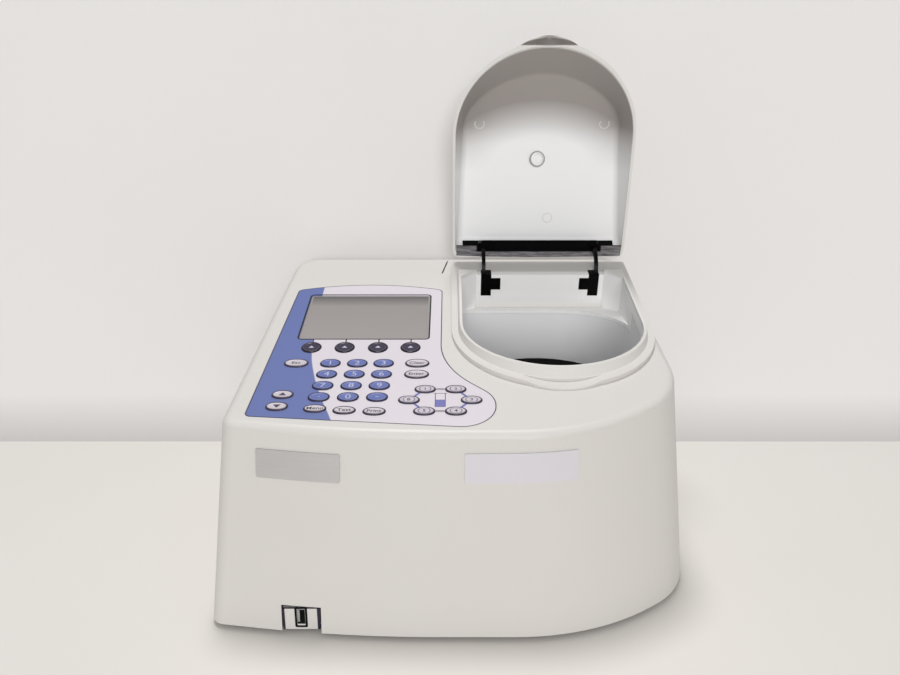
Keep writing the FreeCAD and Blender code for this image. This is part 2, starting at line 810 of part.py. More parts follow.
def key_list():
    keys = []
    for i, u in enumerate(soft_places):
        keys.append(("key_soft_%d" % (i + 1), u, soft_row, (soft_key, soft_key)))
    for r, v in enumerate(number_rows):
        for c, u in enumerate(number_columns):
            keys.append(("key_" + number_names[r][c], u + r * column_lean[c], v, oval_key))
    for name, (u, v) in wide_places.items():
        keys.append(("key_" + name, u, v, wide_key))
    for name, (u, v) in arrow_places.items():
        keys.append(("key_" + name, u, v, cell_key))
    u0, v0 = cell_centre
    across, half_pair = cell_reach
    cells = [(u0 - across, v0), (u0 - half_pair, v0 + cell_half_row), (u0 + half_pair, v0 + cell_half_row),
             (u0 + across, v0), (u0 - half_pair, v0 - cell_half_row), (u0 + half_pair, v0 - cell_half_row)]
    for i, (u, v) in enumerate(cells):
        keys.append(("key_cell_%d" % (i + 1), u, v, cell_key))
    return keys


flange_top = -overlay_thickness - face_gap
flange_bottom = flange_top - key_flange
board_top = flange_bottom - key_travel - face_gap


def key_solid(u, v, size):
    cap = stadium(u, v, size, flange_bottom, key_rise)
    flange = centred_box(u, v, size[0] + key_flange_margin, size[1] + key_flange_margin,
                         flange_bottom, flange_top)
    return on_deck(cap.fuse(flange).removeSplitter())


def keypad_overlay():
    sheet = prism(overlay_points(0.0), -overlay_thickness, 0.0)
    holes = [stadium(u, v, (size[0] + 2 * key_gap, size[1] + 2 * key_gap), -5, 5)
             for name, u, v, size in key_list()]
    holes.append(rounded_box(window_u, window_v, window_width, window_height, window_corner, -5, 5))
    return on_deck(sheet.cut(holes))


def display_window():
    top = -overlay_thickness
    return on_deck(rounded_box(window_u, window_v, window_width + 2 * window_border,
                               window_height + 2 * window_border, window_corner, top - window_thickness, top))


def display_module():
    top = -overlay_thickness - window_thickness - face_gap
    face = centred_box(window_u, window_v, window_width + 2 * window_border, window_height + 2 * window_border,
                       -cover_wall - face_gap, top)
    frame = centred_box(window_u, window_v, module_width, module_height,
                        -cover_wall - face_gap - module_thickness, -cover_wall - face_gap)
    return on_deck(face.fuse(frame).removeSplitter())


def key_switch_board():
    board = prism(overlay_points(1.0), board_top - board_thickness, board_top)
    front_limit = window_v - module_height / 2 - 1.0
    limit = box(-half_width, half_width, -20, front_limit, board_top - 10, board_top + 1)
    return on_deck(board.common(limit))


# Front and side details

def face_plate(x, z, wide, high, turn, corner=1.5):
    """Thin plate that follows the front face."""
    low, top = z - high, z + high
    grown = slab(walls(-plate_thickness - face_gap), low, top)
    window = rounded_box(0, 0, wide, high, corner, 0, half_depth)
    window.rotate(vec(0, 0), vec(0, 0, 1), -turn)
    window.rotate(vec(0, 0), vec(1, 0, 0), 90)
    window.translate(vec(x, -60, z))
    return keep_largest(grown.common(window).cut(walls(-face_gap)))


port_left = usb_x + port_shift - port_width / 2


def front_usb_plate():
    """Small white plate set back in the notch, with a window for the port."""
    y = -half_depth + usb_setback
    z0 = pan_top + face_gap
    z1 = cover_base_z + usb_height
    plate = box(usb_x - usb_width / 2, usb_x + usb_width / 2, y, y + usb_wall, cover_base_z + face_gap, z1)
    foot = box(usb_x - usb_width / 2, usb_x + usb_width / 2, y, y + port_depth, z0, z0 + usb_wall)
    port = box(port_left, port_left + port_width, y - 1, y + usb_wall + 1,
               z0 + usb_wall + face_gap, z0 + usb_wall + face_gap + port_height - 1.0)
    return plate.fuse(foot).cut(port).removeSplitter()


def front_usb_port():
    """Upright receptacle: folded metal shell round a tongue."""
    y = -half_depth + usb_setback
    x0 = port_left + face_gap / 2
    x1 = x0 + port_width - face_gap
    z0 = pan_top + face_gap + usb_wall + face_gap
    z1 = z0 + port_height - 1.0 - face_gap
    shell = box(x0, x1, y - 0.3, y + port_depth - 1.5, z0, z1)
    hollow = box(x0 + port_wall, x1 - port_wall, y - 1, y + port_depth - 4, z0 + port_wall, z1 - port_wall)
    tongue = box(x0 + port_wall, x0 + port_wall + 1.9, y + 0.6, y + port_depth - 3, z0 + 1.6, z1 - 1.6)
    return shell.cut(hollow).fuse(tongue).removeSplitter()


def base_pan():
    flange_top_z = pan_z + pan_flange
    pan = slab(walls(cover_wall + fit_gap), pan_z, flange_top_z)
    pan = pan.cut(slab(walls(cover_wall + fit_gap + pan_thickness), pan_top, flange_top_z + 2))
    for x, y in screw_places:
        pan = pan.cut(cylinder(x, y, screw_radius + 0.3, 0, pan_top + 1))
        pan = pan.cut(cylinder(x, y, screw_boss + fit_gap, pan_top, flange_top_z + 1))
        side = math.copysign(half_width, x)
        pan = pan.cut(box(min(x, side), max(x, side), y - 2, y + 2, pan_top, flange_top_z + 1))
    notch_half = usb_width / 2 + usb_gap
    pan = pan.cut(box(usb_x - notch_half, usb_x + notch_half, -half_depth - 5, -half_depth + usb_setback + port_depth,
                      pan_top, flange_top_z + 1))
    pan = pan.cut(box(usb_x - notch_half, usb_x + notch_half, -half_depth - 5,
                      -half_depth + usb_setback + usb_wall + face_gap, pan_z - 1, pan_top + 1))
    pan = pan.cut(centred_box(inlet_x, half_depth - 5, inlet_width + 2 * fit_gap, 2 * inlet_depth + 12,
                              inlet_z - inlet_height / 2 - fit_gap, flange_top_z + 1))
    return keep_largest(pan)


def rubber_feet():
    feet = []
    for x, y in foot_places:
        foot = cylinder(x, y, foot_radius, 0, foot_height)
        feet.append(foot.makeChamfer(foot_chamfer, [min(foot.Edges, key=lambda e: e.CenterOfMass.z)]))
    return Part.makeCompound(feet)


def cover_screws():
    screws = []
    for x, y in screw_places:
        head = cylinder(x, y, screw_head, pan_z - screw_head_height, pan_z)
        shank = cylinder(x, y, screw_radius, pan_z, pan_top + screw_length)
        screws.append(head.fuse(shank))
    return Part.makeCompound([screw.Solids[0] for screw in screws])


# Rear inlet: local x across, y out of the wall, z up

inlet_face_y = rear_y(inlet_z)
rocker_z = inlet_z + inlet_height / 2 - rocker_height / 2 - 6
rocker_face_y = inlet_face_y + inlet_flange_thickness - rocker_sink
socket_z = inlet_z - inlet_height / 2 + socket_height / 2 + 9


def on_rear(shape):
    """Leans an upright rear piece with the wall, about the inlet's middle."""
    placed = shape.copy()
    placed.rotate(vec(0, inlet_face_y, inlet_z), vec(1, 0, 0), rear_draft)
    return placed


def power_inlet():
    y = inlet_face_y
    body = centred_box(inlet_x, y - inlet_depth / 2, inlet_width - 1.0, inlet_depth,
                       inlet_z - inlet_height / 2 + 1.0, inlet_z + inlet_height / 2 - 1.0)
    flange = box(inlet_x - inlet_width / 2 - inlet_flange, inlet_x + inlet_width / 2 + inlet_flange,
                 y + face_gap / 2, y + inlet_flange_thickness, inlet_z - inlet_height / 2 - inlet_flange,
                 inlet_z + inlet_height / 2 + inlet_flange)
    neck = centred_box(inlet_x, y, inlet_width - 1.0, 2.0, inlet_z - inlet_height / 2 + 1.0,
                       inlet_z + inlet_height / 2 - 1.0)
    front = y + inlet_flange_thickness + 1
    socket = box(inlet_x - socket_width / 2, inlet_x + socket_width / 2, front - socket_depth - 1, front,
                 socket_z - socket_height / 2, socket_z + socket_height / 2)
    pins = [box(inlet_x + dx - 1.0, inlet_x + dx + 1.0, front - socket_depth - 2, y - 3,
                socket_z + dz - 2.0, socket_z + dz + 2.0) for dx, dz in ((-7, -2), (0, 2), (7, -2))]
    pocket = centred_box(inlet_x, front - 6.5, rocker_width + 2 * rocker_gap, 13,
                         rocker_z - rocker_height / 2 - 1.2, rocker_z + rocker_height / 2 + 1.2)
    return on_rear(body.fuse([flange, neck]).cut([socket, pocket]).fuse(pins).removeSplitter())


def rocker_axis():
    point = Part.Vertex(vec(inlet_x, rocker_face_y - rocker_depth, rocker_z))
    return on_rear(point).Point


def power_rocker():
    """Switch rocker: two faces that meet in a shallow valley, pivoted behind it."""
    y = rocker_face_y
    rise = rocker_height / 2 * math.tan(math.radians(rocker_tilt))
    low, high = rocker_z - rocker_height / 2, rocker_z + rocker_height / 2
    corners = [vec(0, y, rocker_z), vec(0, y + rise, high), vec(0, y - rocker_depth, high - 1.5),
               vec(0, y - rocker_depth - 3, rocker_z), vec(0, y - rocker_depth, low + 1.5), vec(0, y + rise, low)]
    solid = Part.Face(Part.makePolygon(corners + corners[:1])).extrude(vec(rocker_width, 0, 0))
    solid.translate(vec(inlet_x - rocker_width / 2, 0, 0))
    solid.rotate(vec(0, y - rocker_depth, rocker_z), vec(1, 0, 0), rocker_tilt)
    return on_rear(solid)


def rear_data_port():
    y = rear_y(data_port_z)
    half = data_port_size / 2
    shell = box(data_port_x - half, data_port_x + half, y - 16, y - 0.5, data_port_z - half, data_port_z + half)
    hollow = box(data_port_x - half + 1.6, data_port_x + half - 1.6, y - 9, y,
                 data_port_z - half + 1.4, data_port_z + half - 1.4)
    tongue = box(data_port_x - 2.8, data_port_x + 2.8, y - 10, y - 2, data_port_z - 3.4, data_port_z - 0.4)
    return shell.cut(hollow).fuse(tongue).removeSplitter()


# Inside pieces

def cell_carousel():
    low = carousel_top_z - cell_depth
    cap = cylinder(carousel_x, carousel_y, carousel_radius, carousel_top_z - carousel_plate, carousel_top_z)
    hub = cylinder(carousel_x, carousel_y, hub_radius, well_floor_z + 1.5, carousel_top_z - carousel_plate)
    solids = [hub]
    cutters = []
    for i in range(cell_count):
        angle = 90 + i * 360 / cell_count
        block = centred_box(cell_ring, 0, cell_size + 2 * cell_wall, cell_size + 2 * cell_wall,
                            low - cell_wall, carousel_top_z - carousel_plate)
        slot = centred_box(cell_ring, 0, cell_size, cell_size, low, carousel_top_z + 1)
        light = centred_box(cell_ring, 0, 6.0, 40, beam_z - 6, beam_z + 6)
        for shape, group in ((block, solids), (slot, cutters), (light, cutters)):
            shape.rotate(vec(0, 0), vec(0, 0, 1), angle)
            shape.translate(vec(carousel_x, carousel_y))
            group.append(shape)
    spindle = cylinder(carousel_x, carousel_y, shaft_radius, well_floor_z - well_wall - spindle_depth,
                       well_floor_z + 2)
    return keep_largest(cap.fuse(solids).cut(cutters).fuse(spindle).removeSplitter())


def carousel_motor():
    top = well_floor_z - well_wall
    case = rounded_box(carousel_x, carousel_y, motor_size, motor_size, 4, top - motor_height, top)
    return case.cut(cylinder(carousel_x, carousel_y, shaft_radius + shaft_gap, top - spindle_depth - 1, top + 1))


def optical_bench():
    middle_x = (bench_left + bench_right) / 2
    middle_y = (bench_front + bench_rear) / 2
    plate = rounded_box(middle_x, middle_y, bench_right - bench_left, bench_rear - bench_front, 6,
                        bench_z, bench_z + bench_thickness)
    posts = [cylinder(x, y, post_radius, pan_top, bench_z)
             for x in (bench_left + 10, bench_right - 10) for y in (bench_front + 10, bench_rear - 10)]
    plate = plate.fuse(posts)
    pivot = cylinder(grating_x, grating_y, 3.05, bench_z - 1, bench_z + bench_thickness + 1)
    return plate.cut(pivot).removeSplitter()


bench_top = bench_z + bench_thickness
grating_x = -130.0
grating_y = -40.0
filter_x = -92.0


def lamp_module():
    case = rounded_box(-138, beam_y, 38, 40, 5, bench_top, bench_top + 66)
    bore = Part.makeCylinder(9, 14, vec(-131, beam_y, beam_z), vec(1, 0, 0))
    fins = [centred_box(-138, beam_y + dy, 30, 2, bench_top + 66, bench_top + 74) for dy in (-14, -7, 0, 7, 14)]
    return case.cut(bore).fuse(fins)


def filter_wheel():
    """Disc of filters that turns on an axis along the beam."""
    centre = vec(filter_x, beam_y, beam_z - 22)
    disc = Part.makeCylinder(27, 4, centre, vec(1, 0, 0))
    holes = [Part.makeCylinder(3.05, 10, centre - vec(3, 0, 0), vec(1, 0, 0))]
    for i in range(6):
        angle = math.radians(90 + 60 * i)
        place = centre + vec(-3, 18 * math.cos(angle), 18 * math.sin(angle))
        holes.append(Part.makeCylinder(5.5, 10, place, vec(1, 0, 0)))
    return disc.cut(holes)


def filter_motor():
    """Motor on a bracket: its spindle carries the filter wheel."""
    z = beam_z - 22
    x = filter_x + 5
    case = box(x + 2, x + 22, beam_y - 14, beam_y + 14, z - 14, z + 10)
    spindle = Part.makeCylinder(3, 9, vec(x - 6, beam_y, z), vec(1, 0, 0))
    foot = box(x + 2, x + 22, beam_y - 20, beam_y + 20, bench_top, z - 13)
    return case.fuse([spindle, foot]).removeSplitter()


def mirrors():
    """Two mirror blocks, turned to fold the beam."""
    blocks = []
    for x, y, turn in ((-40.0, beam_y - 20 - 60, 25.0), (-60.0, -70.0, -30.0)):
        block = rounded_box(0, 0, 30, 8, 1, bench_top, bench_top + 62)
        dish = cylinder(0, -84.5, 82, bench_top + 20, bench_top + 60)
        block = block.cut(dish)
        base = rounded_box(0, 6, 34, 20, 2, bench_top, bench_top + 6)
        block = block.fuse(base).removeSplitter()
        block.rotate(vec(0, 0), vec(0, 0, 1), turn)
        block.translate(vec(x, y))
        blocks.append(block)
    return blocks


def diffraction_grating():
    """Ruled block on a spindle that turns in the bench."""
    block = centred_box(grating_x, grating_y, 30, 7, bench_top + 32, bench_top + 62)
    table = cylinder(grating_x, grating_y, 16, bench_top + 0.4, bench_top + 32)
    spindle = cylinder(grating_x, grating_y, 3, bench_z, bench_top + 1)
    return block.fuse([table, spindle])


def entry_lens():
    """Lens barrel between the bench and the well's window."""
    left = lid_centre_x - well_half_width - well_wall - 0.4
    barrel = Part.makeCylinder(8, 26, vec(left - 26, beam_y, beam_z), vec(1, 0, 0))
    barrel = barrel.cut(Part.makeCylinder(6, 10, vec(left - 27, beam_y, beam_z), vec(1, 0, 0)))
    stand = box(bench_right - 14, bench_right - 6, beam_y - 4, beam_y + 4, bench_top, beam_z - 7.5)
    return barrel.fuse(stand)


def detector_module():
    x0 = lid_centre_x + well_half_width + well_wall + 0.2
    case = box(x0, x0 + 10, beam_y - 16, beam_y + 16, beam_z - 16, beam_z + 16)
    eye = Part.makeCylinder(4, 6, vec(x0 - 1, beam_y, beam_z), vec(1, 0, 0))
    return case.cut(eye)


def power_supply():
    base = box(-140, -34, 55, 118, pan_top, bench_z - 12)
    return base.makeFillet(2, [e for e in base.Edges if abs(e.tangentAt(e.FirstParameter).z) > 0.9])


def main_board():
    """Circuit board on standoffs, with its larger parts as blocks."""
    z = pan_top + 6
    left, right = board_left, board_left + board_width
    front, rear = -half_depth + board_front_gap, -half_depth + board_front_gap + board_depth
    top = z + board_thickness
    plate = box(left, right, front, rear, z, top)
    stands = [cylinder(x, y, 3, pan_top, z) for x in (left + 5, right - 5) for y in (front + 5, rear - 5)]
    blocks = [box(left + 18, left + 46, front + 10, rear - 12, top, top + 3.4),
              box(left + 58, left + 76, front + 12, rear - 18, top, top + 3),
              box(right - 30, right - 8, front + 6, front + 14, top, top + 10.4)]
    return plate.fuse(stands + blocks).removeSplitter()


pieces = {
    "main_cover": main_cover,
    "sample_well": sample_well,
    "hinge_guides": hinge_guides,
    "keypad_overlay": keypad_overlay,
    "display_window": display_window,
    "display_module": display_module,
    "key_switch_board": key_switch_board,
    "front_usb_plate": front_usb_plate,
    "front_usb_port": front_usb_port,
    "base_pan": base_pan,
    "rubber_feet": rubber_feet,
    "cover_screws": cover_screws,
    "power_inlet": power_inlet,
    "power_rocker": power_rocker,
    "rear_data_port": rear_data_port,
    "cell_carousel": cell_carousel,
    "carousel_motor": carousel_motor,
    "optical_bench": optical_bench,
    "lamp_module": lamp_module,
    "filter_wheel": filter_wheel,
    "filter_motor": filter_motor,
    "diffraction_grating": diffraction_grating,
    "detector_module": detector_module,
    "power_supply": power_supply,
    "main_board": main_board,
}
solids = {name: make() for name, make in pieces.items()}
solids["face_plates"] = Part.makeCompound([
    face_plate(badge_x, badge_z, badge_width, badge_height, badge_turn),
    face_plate(label_x, label_z, label_width, label_height, label_turn)])
solids["bench_optics"] = Part.makeCompound(mirrors() + [entry_lens()])
solids["sample_lid"] = swing_open(sample_lid())
solids["lid_hinge_bar"] = swing_open(lid_hinge_bar())
solids["lid_hinge_arms"] = swing_open(lid_hinge_arms())
for key_name, key_u, key_v, key_size in key_list():
    solids[key_name] = key_solid(key_u, key_v, key_size)

for name, shape in solids.items():
    save(name, shape)
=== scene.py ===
import bpy
import json
import math
import numpy as np
from mathutils.bvhtree import BVHTree
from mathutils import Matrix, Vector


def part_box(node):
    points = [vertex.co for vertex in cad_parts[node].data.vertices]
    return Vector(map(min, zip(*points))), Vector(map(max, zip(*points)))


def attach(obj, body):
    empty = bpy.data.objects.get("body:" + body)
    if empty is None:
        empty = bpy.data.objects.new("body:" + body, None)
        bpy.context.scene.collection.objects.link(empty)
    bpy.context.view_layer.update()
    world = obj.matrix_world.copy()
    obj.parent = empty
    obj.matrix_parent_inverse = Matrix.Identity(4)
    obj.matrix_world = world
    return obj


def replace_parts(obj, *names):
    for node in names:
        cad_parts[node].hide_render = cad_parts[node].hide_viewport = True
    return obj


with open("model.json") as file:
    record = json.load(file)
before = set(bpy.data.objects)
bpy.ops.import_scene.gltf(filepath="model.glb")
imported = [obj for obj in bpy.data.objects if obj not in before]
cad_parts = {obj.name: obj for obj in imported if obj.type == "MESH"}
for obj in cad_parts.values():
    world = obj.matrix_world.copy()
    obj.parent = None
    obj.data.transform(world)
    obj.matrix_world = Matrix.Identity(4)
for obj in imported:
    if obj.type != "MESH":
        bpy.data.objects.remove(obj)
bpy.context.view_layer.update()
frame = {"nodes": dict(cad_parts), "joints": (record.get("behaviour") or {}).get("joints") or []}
nodes = frame["nodes"]
print("frame loaded:", len(nodes), "nodes")

# The deck's own axes: u across, v up the slope, w out of the surface. The key joints run along -w.
keyJoint = next(j for j in frame["joints"] if j["name"] == "key_5_press")
deckAngle = math.atan2(keyJoint["axis"][1], -keyJoint["axis"][2])
deckSin, deckCos = math.sin(deckAngle), math.cos(deckAngle)
deckFront = {"y": -0.1497, "z": 0.1703}  # where v and w are zero


def toDeck(points):
    # rotation back by the deck's angle about its front line
    y, z = points[:, 1] - deckFront["y"], points[:, 2] - deckFront["z"]
    return np.column_stack([points[:, 0], y * deckCos + z * deckSin, z * deckCos - y * deckSin])


def fromDeck(u, v, w):
    # the same rotation forwards, for whole arrays
    u, v, w = np.broadcast_arrays(u, v, w)
    y = deckFront["y"] + v * deckCos - w * deckSin
    z = deckFront["z"] + v * deckSin + w * deckCos
    return np.column_stack([u.ravel(), y.ravel(), z.ravel()])


def nodePoints(name):
    flat = np.zeros(len(nodes[name].data.vertices) * 3)
    nodes[name].data.vertices.foreach_get("co", flat)
    return flat.reshape(-1, 3)


def deckBox(name):
    points = toDeck(nodePoints(name))
    return points.min(0), points.max(0)


def linear(red, green, blue):
    # screen colour 0..255 to the linear values that the shader takes
    c = np.array([red, green, blue]) / 255.0
    c = np.where(c <= 0.04045, c / 12.92, ((c + 0.055) / 1.055) ** 2.4)
    return (float(c[0]), float(c[1]), float(c[2]), 1.0)


# Shader groups shared by the finishes

def newGroup(name, inputs, outputs):
    group = bpy.data.node_groups.new(name, "ShaderNodeTree")
    for way, sockets in (("INPUT", inputs), ("OUTPUT", outputs)):
        for label, kind in sockets.items():
            group.interface.new_socket(name=label, in_out=way, socket_type="NodeSocket" + kind)
    return group, group.nodes.new("NodeGroupInput"), group.nodes.new("NodeGroupOutput")


def mathNode(tree, operation, first, second=None, clamp=False):
    node = tree.nodes.new("ShaderNodeMath")
    node.operation = operation
    node.use_clamp = clamp
    for slot, value in enumerate((first, second)):
        if value is None:
            continue
        if isinstance(value, (int, float)):
            node.inputs[slot].default_value = value
        else:
            tree.links.new(value, node.inputs[slot])
    return node.outputs[0]


def product(tree, first, second, clamp=False):
    return mathNode(tree, "MULTIPLY", first, second, clamp)


def diagonal(tree, first, second):
    # root of the sum of both squares
    squares = mathNode(tree, "ADD", product(tree, first, first), product(tree, second, second))
    return mathNode(tree, "SQRT", squares)


def mixColour(tree, factor, first, second):
    node = tree.nodes.new("ShaderNodeMix")
    node.data_type = "RGBA"
    for slot, value in ((0, factor), (6, first), (7, second)):
        if isinstance(value, (int, float, tuple)):
            node.inputs[slot].default_value = value
        else:
            tree.links.new(value, node.inputs[slot])
    return node.outputs[2]


def noiseNode(tree, vector, scale, detail=3.0, roughness=0.55):
    node = tree.nodes.new("ShaderNodeTexNoise")
    node.inputs["Scale"].default_value = scale
    node.inputs["Detail"].default_value = detail
    node.inputs["Roughness"].default_value = roughness
    tree.links.new(vector, node.inputs["Vector"])
    return node.outputs["Fac"]


def stretchedNoise(tree, vector, stretch, detail=4.0, roughness=0.6):
    # noise drawn out along an axis, for streaks and scuffs
    node = tree.nodes.new("ShaderNodeMapping")
    node.inputs["Scale"].default_value = stretch
    tree.links.new(vector, node.inputs["Vector"])
    return noiseNode(tree, node.outputs["Vector"], 1.0, detail, roughness)


def splitAxes(tree, vector):
    node = tree.nodes.new("ShaderNodeSeparateXYZ")
    tree.links.new(vector, node.inputs[0])
    return node.outputs


# Grain and ageing that the plastics share, and what the metals share
grainLook = {"scale": 2600.0, "depth": 0.00002, "strength": 0.6, "detail": 2.0, "sheen": (38.0, 4.0),
             "sheenReach": 0.06, "specular": 0.4, "patches": 7.0, "scuffStretch": (20.0, 90.0, 400.0),
             "scuffs": (5.0, 0.7), "scuffLevel": 0.66, "scuffGain": 3.0, "rubbed": -0.12}
metalLook = {"reach": 0.08, "dark": 0.82, "depth": 0.00001, "strength": 0.4}


def buildMouldGrain():
    # spark-eroded grain: fine noise for height, a broader one for sheen
    group, given, out = newGroup("mouldGrain", {"Vector": "Vector", "Scale": "Float"},
                                 {"Height": "Float", "Sheen": "Float"})
    fine = group.nodes.new("ShaderNodeTexNoise")
    fine.inputs["Detail"].default_value = grainLook["detail"]
    group.links.new(given.outputs["Vector"], fine.inputs["Vector"])
    group.links.new(given.outputs["Scale"], fine.inputs["Scale"])
    broad = noiseNode(group, given.outputs["Vector"], *grainLook["sheen"])
    group.links.new(fine.outputs["Fac"], out.inputs["Height"])
    group.links.new(broad, out.inputs["Sheen"])
    return group


def buildAgedTone():
    # large soft patches of a warmer tone, and faint rubbed marks
    group, given, out = newGroup("agedTone", {"Vector": "Vector", "Base": "Color", "Aged": "Color",
                                              "Amount": "Float"}, {"Color": "Color", "Marks": "Float"})
    patches = noiseNode(group, given.outputs["Vector"], grainLook["patches"])
    spread = product(group, patches, given.outputs["Amount"], True)
    toned = mixColour(group, spread, given.outputs["Base"], given.outputs["Aged"])
    scuffs = stretchedNoise(group, given.outputs["Vector"], grainLook["scuffStretch"], *grainLook["scuffs"])
    sharp = mathNode(group, "SUBTRACT", scuffs, grainLook["scuffLevel"], True)
    group.links.new(toned, out.inputs["Color"])
    group.links.new(product(group, sharp, grainLook["scuffGain"], True), out.inputs["Marks"])
    return group


mouldGrain = buildMouldGrain()
agedTone = buildAgedTone()


def newMaterial(name):
    material = bpy.data.materials.new(name)
    material.use_nodes = True
    tree = material.node_tree
    shader = tree.nodes["Principled BSDF"]
    where = tree.nodes.new("ShaderNodeTexCoord").outputs["Object"]
    return material, tree, shader, where


def agedNode(tree, where, base, aged, amount):
    tone = tree.nodes.new("ShaderNodeGroup")
    tone.node_tree = agedTone
    tree.links.new(where, tone.inputs["Vector"])
    tone.inputs["Base"].default_value = linear(*base)
    tone.inputs["Aged"].default_value = linear(*aged)
    tone.inputs["Amount"].default_value = amount
    return tone.outputs


def layBump(tree, shader, height, depth, strength=1.0):
    bump = tree.nodes.new("ShaderNodeBump")
    bump.inputs["Distance"].default_value = depth
    bump.inputs["Strength"].default_value = strength
    tree.links.new(height, bump.inputs["Height"])
    tree.links.new(bump.outputs["Normal"], shader.inputs["Normal"])


def grainNode(tree, where, scale):
    grain = tree.nodes.new("ShaderNodeGroup")
    grain.node_tree = mouldGrain
    tree.links.new(where, grain.inputs["Vector"])
    grain.inputs["Scale"].default_value = scale
    return grain.outputs


def around(tree, value, middle, reach):
    # from middle - reach at 0 to middle + reach at 1
    node = tree.nodes.new("ShaderNodeMapRange")
    node.inputs["To Min"].default_value, node.inputs["To Max"].default_value = middle - reach, middle + reach
    tree.links.new(value, node.inputs["Value"])
    return node.outputs["Result"]


def finishPlastic(name, look):
    # moulded plastic: toned colour, grained bump and a sheen that varies a little
    material, tree, shader, where = newMaterial(name)
    tone = agedNode(tree, where, look["colour"], look["aged"], look["amount"])
    colour = tone["Color"]
    # painted highlight on a key cap's rim and painted shade down its side
    for band in ("rim", "side"):  # paler on a key cap's rim, dark down its side
        if band in look:
            worn = tree.nodes.new("ShaderNodeAttribute")
            worn.attribute_name = band
            colour = mixColour(tree, worn.outputs["Fac"], colour, linear(*look[band]))
    tree.links.new(colour, shader.inputs["Base Color"])
    grain = grainNode(tree, where, grainLook["scale"])
    rough = around(tree, grain["Sheen"], look["roughness"], grainLook["sheenReach"])
    rubbed = product(tree, tone["Marks"], grainLook["rubbed"])
    tree.links.new(mathNode(tree, "ADD", rough, rubbed, True), shader.inputs["Roughness"])
    layBump(tree, shader, grain["Height"], look.get("grainDepth", grainLook["depth"]), grainLook["strength"])
    shader.inputs["Specular IOR Level"].default_value = look.get("specular", grainLook["specular"])
    return material


def finishMetal(name, look):
    # brushed or cast metal: streaks along one axis in roughness, tone and bump
    material, tree, shader, where = newMaterial(name)
    streaks = stretchedNoise(tree, where, look["brush"])
    tree.links.new(around(tree, streaks, look["roughness"], metalLook["reach"]), shader.inputs["Roughness"])
    base = linear(*look["colour"])
    dark = tuple(c * metalLook["dark"] for c in base[:3]) + (1.0,)
    tree.links.new(mixColour(tree, streaks, dark, base), shader.inputs["Base Color"])
    layBump(tree, shader, streaks, metalLook["depth"], metalLook["strength"])
    shader.inputs["Metallic"].default_value = 1.0
    return material


def retone(material, factor, colour):
    # lay one more tone over whatever colours the shader now
    tree = material.node_tree
    slot = tree.nodes["Principled BSDF"].inputs["Base Color"]
    tree.links.new(mixColour(tree, factor, slot.links[0].from_socket, linear(*colour)), slot)


def between(tree, value, low, high):
    # 0 at low, 1 at high, straight between
    node = tree.nodes.new("ShaderNodeMapRange")
    node.inputs["From Min"].default_value, node.inputs["From Max"].default_value = low, high
    tree.links.new(value, node.inputs["Value"])
    return node.outputs["Result"]


# Painted light: the cover's inner walls inside the opening are toned paler, standing in for light that
# reaches down into the well
wellLightLook = {"x": 0.086, "y": 0.008, "reach": (0.0850, 0.0840), "back": (0.1150, 0.1110), "rim": 0.0110,
               "full": 0.0050}


def planReach(tree, where, x, y):
    # plan distance from the well's middle line: straight sides behind its centre, round in front of it
    split = splitAxes(tree, where)
    offX = mathNode(tree, "SUBTRACT", split["X"], x)
    offY = mathNode(tree, "MINIMUM", mathNode(tree, "SUBTRACT", split["Y"], y), 0.0)
    return diagonal(tree, offX, offY), split


def paintWellLight(material, colour):
    # factor of painted light = inside the opening in plan x in front of its back ledge x below the level of
    # the rim
    tree = material.node_tree
    where = tree.nodes.new("ShaderNodeTexCoord").outputs["Object"]
    reach, split = planReach(tree, where, wellLightLook["x"], wellLightLook["y"])
    inside = between(tree, reach, *wellLightLook["reach"])
    inside = product(tree, inside, between(tree, split["Y"], *wellLightLook["back"]))
    level = mathNode(tree, "SUBTRACT", product(tree, split["Z"], deckCos),
                     product(tree, split["Y"], deckSin))
    base = deckFront["z"] * deckCos - deckFront["y"] * deckSin
    below = between(tree, level, base + wellLightLook["rim"], base + wellLightLook["full"])
    retone(material, product(tree, inside, below), colour)


# Inside the lid: depth behind its leaning rim, painted light on its inner faces, painted shade in its crown
# round a centre, and the finger lip's painted shade
lidShade = {
    "lean": 0.175, "rimY": 0.1761, "depth": (0.0008, 0.0025), "x": 0.0865, "z": 0.330, "wide": 0.68,
    "inward": (-0.005, -0.020), "forward": (-0.2, -0.8), "reach": (0.036, 0.072), "height": (0.330, 0.375),
    "lipFoot": (0.4512, 0.4522), "lipZ": 0.3926, "lipReach": (0.0668, 0.0652),
}


